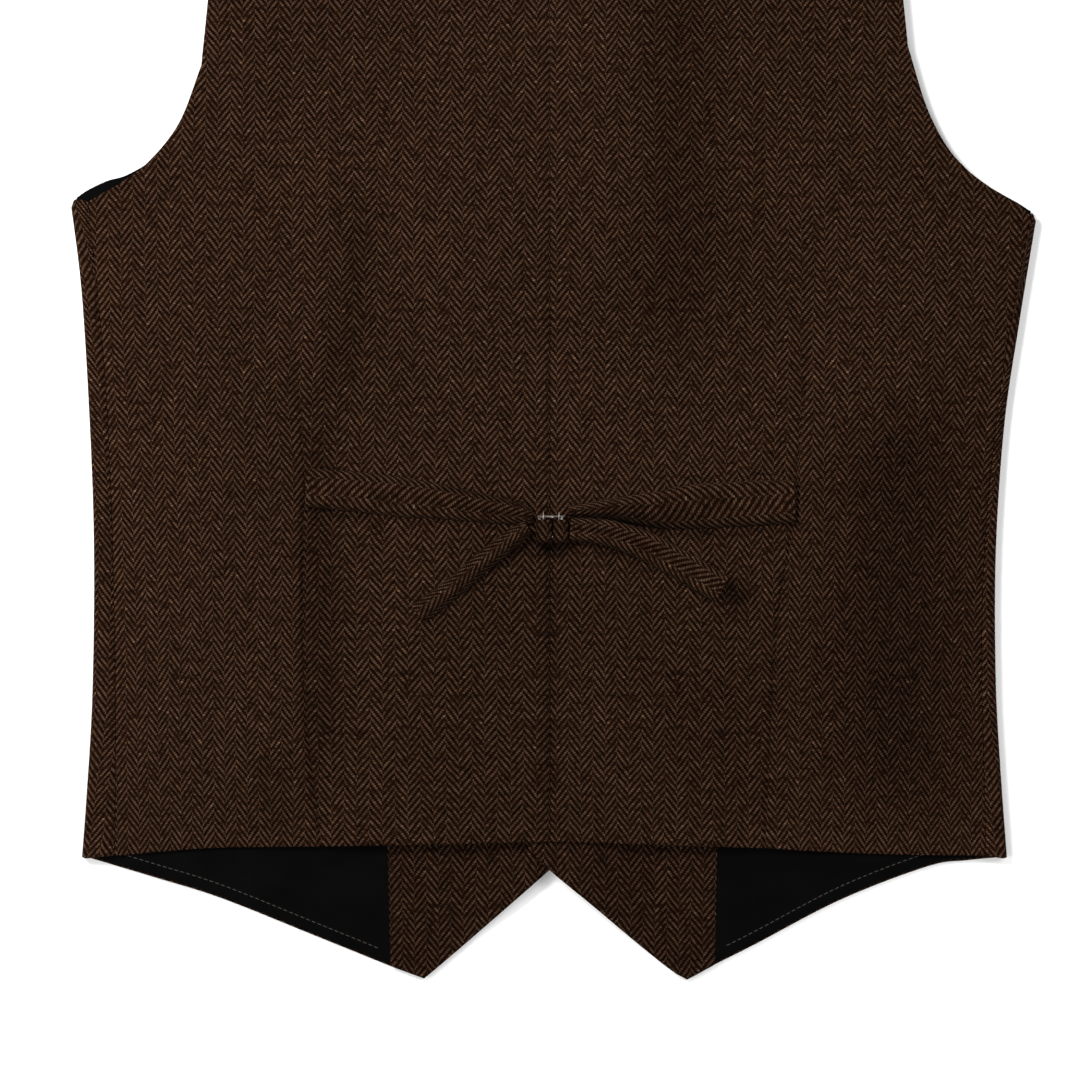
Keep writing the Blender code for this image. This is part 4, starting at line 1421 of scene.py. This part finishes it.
def hem_stitches(half, lining_grid):
    """Places of the stitches along the front hem, on the lining."""
    away = from_grid_edge(lining_grid, 1, False)
    line = []
    for column, distance in zip(lining_grid[1:-2], away[1:-2]):
        line.append([np.interp(STITCH_TO_EDGE, distance, column[:, axis]) for axis in range(3)])
    line = placed(half, np.array(line))
    lengths = run_lengths(line)
    places = []
    for start in np.arange(2.0 * METRE, lengths[-1] - 2 * METRE, STITCH_PITCH * METRE):
        a = Vector([np.interp(start - METRE, lengths, line[:, axis]) for axis in range(3)])
        b = Vector([np.interp(start + METRE, lengths, line[:, axis]) for axis in range(3)])
        middle = (a + b) / 2 + Vector((0, 0, (LINING + 0.1) * METRE))
        places.append((middle, b - a, (0, 0, 1)))
    return places


def buttonhole_stitches(number):
    """Places of the stitches round one buttonhole, which look down from the outer front."""
    centre_y = BUTTON_FIRST_Y + number * BUTTON_PITCH
    level = FRONT_LIFT["left"] - 0.12
    straight = BUTTONHOLE_LENGTH / 2
    places = []
    for side in (-1, 1):
        for share in np.linspace(-1, 1, BUTTONHOLE_STITCHES // 2):
            x = CENTRE_FRONT_X - BUTTONHOLE_SHIFT + share * straight
            point = spot(x, centre_y + side * BUTTONHOLE_WIDTH / 2, level)
            places.append((point, (0, side, 0), (0, 0, -1)))
    return places


# ---- stage ----


def make_camera():
    """Straight above, square on, far enough away to look flat."""
    data = bpy.data.cameras.new("camera")
    data.sensor_width = SENSOR
    data.lens = SENSOR * CAMERA_PLACE[2] / FIELD
    data.clip_end = 100
    camera = bpy.data.objects.new("camera", data)
    camera.location = CAMERA_PLACE
    bpy.context.scene.collection.objects.link(camera)
    bpy.context.scene.camera = camera


def add_lamp(name, place, size, power):
    data = bpy.data.lights.new(name, "AREA")
    data.shape = "SQUARE"
    data.size = size
    data.energy = power
    lamp = bpy.data.objects.new(name, data)
    lamp.location = place
    lamp.rotation_euler = (Vector(LAMP_TARGET) - Vector(place)).to_track_quat("-Z", "Y").to_euler()
    bpy.context.scene.collection.objects.link(lamp)


def make_stage(finish):
    deselect()
    bpy.ops.mesh.primitive_plane_add(size=FLOOR_SIZE, location=(0, 0, FLOOR_LEVEL))
    start_editing()
    bpy.ops.mesh.subdivide(number_cuts=3)
    floor = finished("floor", finish)
    for name, lamp in LAMPS.items():
        add_lamp(name, *lamp)
    world = bpy.data.worlds.new("studio")
    world.use_nodes = True
    background = world.node_tree.nodes["Background"]
    background.inputs["Color"].default_value = (1, 1, 1, 1)
    background.inputs["Strength"].default_value = ROOM_LIGHT
    bpy.context.scene.world = world
    bpy.context.scene.view_settings.view_transform = "Standard"


def main():
    deselect()
    finishes = {
        "cloth": herringbone("herringbone_cloth", *CLOTH_YARNS),
        "facing": herringbone("facing_cloth", *SHADED_FACING_YARNS),
        "lining": satin("lining_satin"),
        "steel": bright_wire("buckle_steel"),
        "button": horn("button_horn"),
        "hem thread": thread("hem_thread", *HEM_THREAD),
        "button thread": thread("button_thread_finish", *BUTTON_THREAD),
    }
    make_camera()
    make_stage(pale_floor("floor_board"))
    stitch = make_stitch(finishes["hem thread"])

    for half in SIDES:
        back = make_back(half, finishes["cloth"])
        hand_over(back, f"back_{half}", cut_of("back", half))
        cloth, facing, lining, lining_grid = make_front(half, finishes)
        hand_over(cloth, f"front_{half}", cut_of("front", half))
        hand_over(facing, f"facing_{half}", cut_of("facing", half))
        hand_over(lining, f"lining_{half}", cut_of("lining", half))
        places = hem_stitches(half, lining_grid)
        seam = sewn(f"hem_stitches_{half}", stitch, places, finishes["hem thread"])
        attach(seam, "root")

    for name, rows in STRAPS.items():
        strap, length = make_strap(name, rows, finishes["cloth"])
        half = name.split("_")[1]
        widths = [row[2] * METRE for row in rows]
        cut = (max(widths), length * METRE, sum(widths) / len(widths) * length * METRE)
        hand_over(strap, name, cut)
    for name, ends in LOOP_SPAN_X.items():
        loop, length = make_loop(name, ends, finishes["cloth"])
        cut = (LOOP_CUT_WIDTH, length * METRE, (ends[1] - ends[0]) * length * METRE**2)
        hand_over(loop, name, cut)

    buckle = make_buckle(finishes["steel"])
    hand_over(buckle, "buckle")

    button = make_button(finishes["button"])
    button_thread = make_button_thread(finishes["button thread"])
    for number in range(BUTTON_COUNT):
        shift = Vector((0, number * BUTTON_PITCH * METRE, 0))
        made = copied(button, f"horn_button_{number + 1}", shift)
        hand_over(made, f"button_{number + 1}")
        sewing = copied(button_thread, f"button_sewing_{number + 1}", shift)
        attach(sewing, "root")
        places = buttonhole_stitches(number)
        hole = sewn(f"buttonhole_{number + 1}", stitch, places, finishes["button thread"])
        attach(hole, "root")
    for spare in (stitch, button, button_thread):
        bpy.data.objects.remove(spare, do_unlink=True)


main()
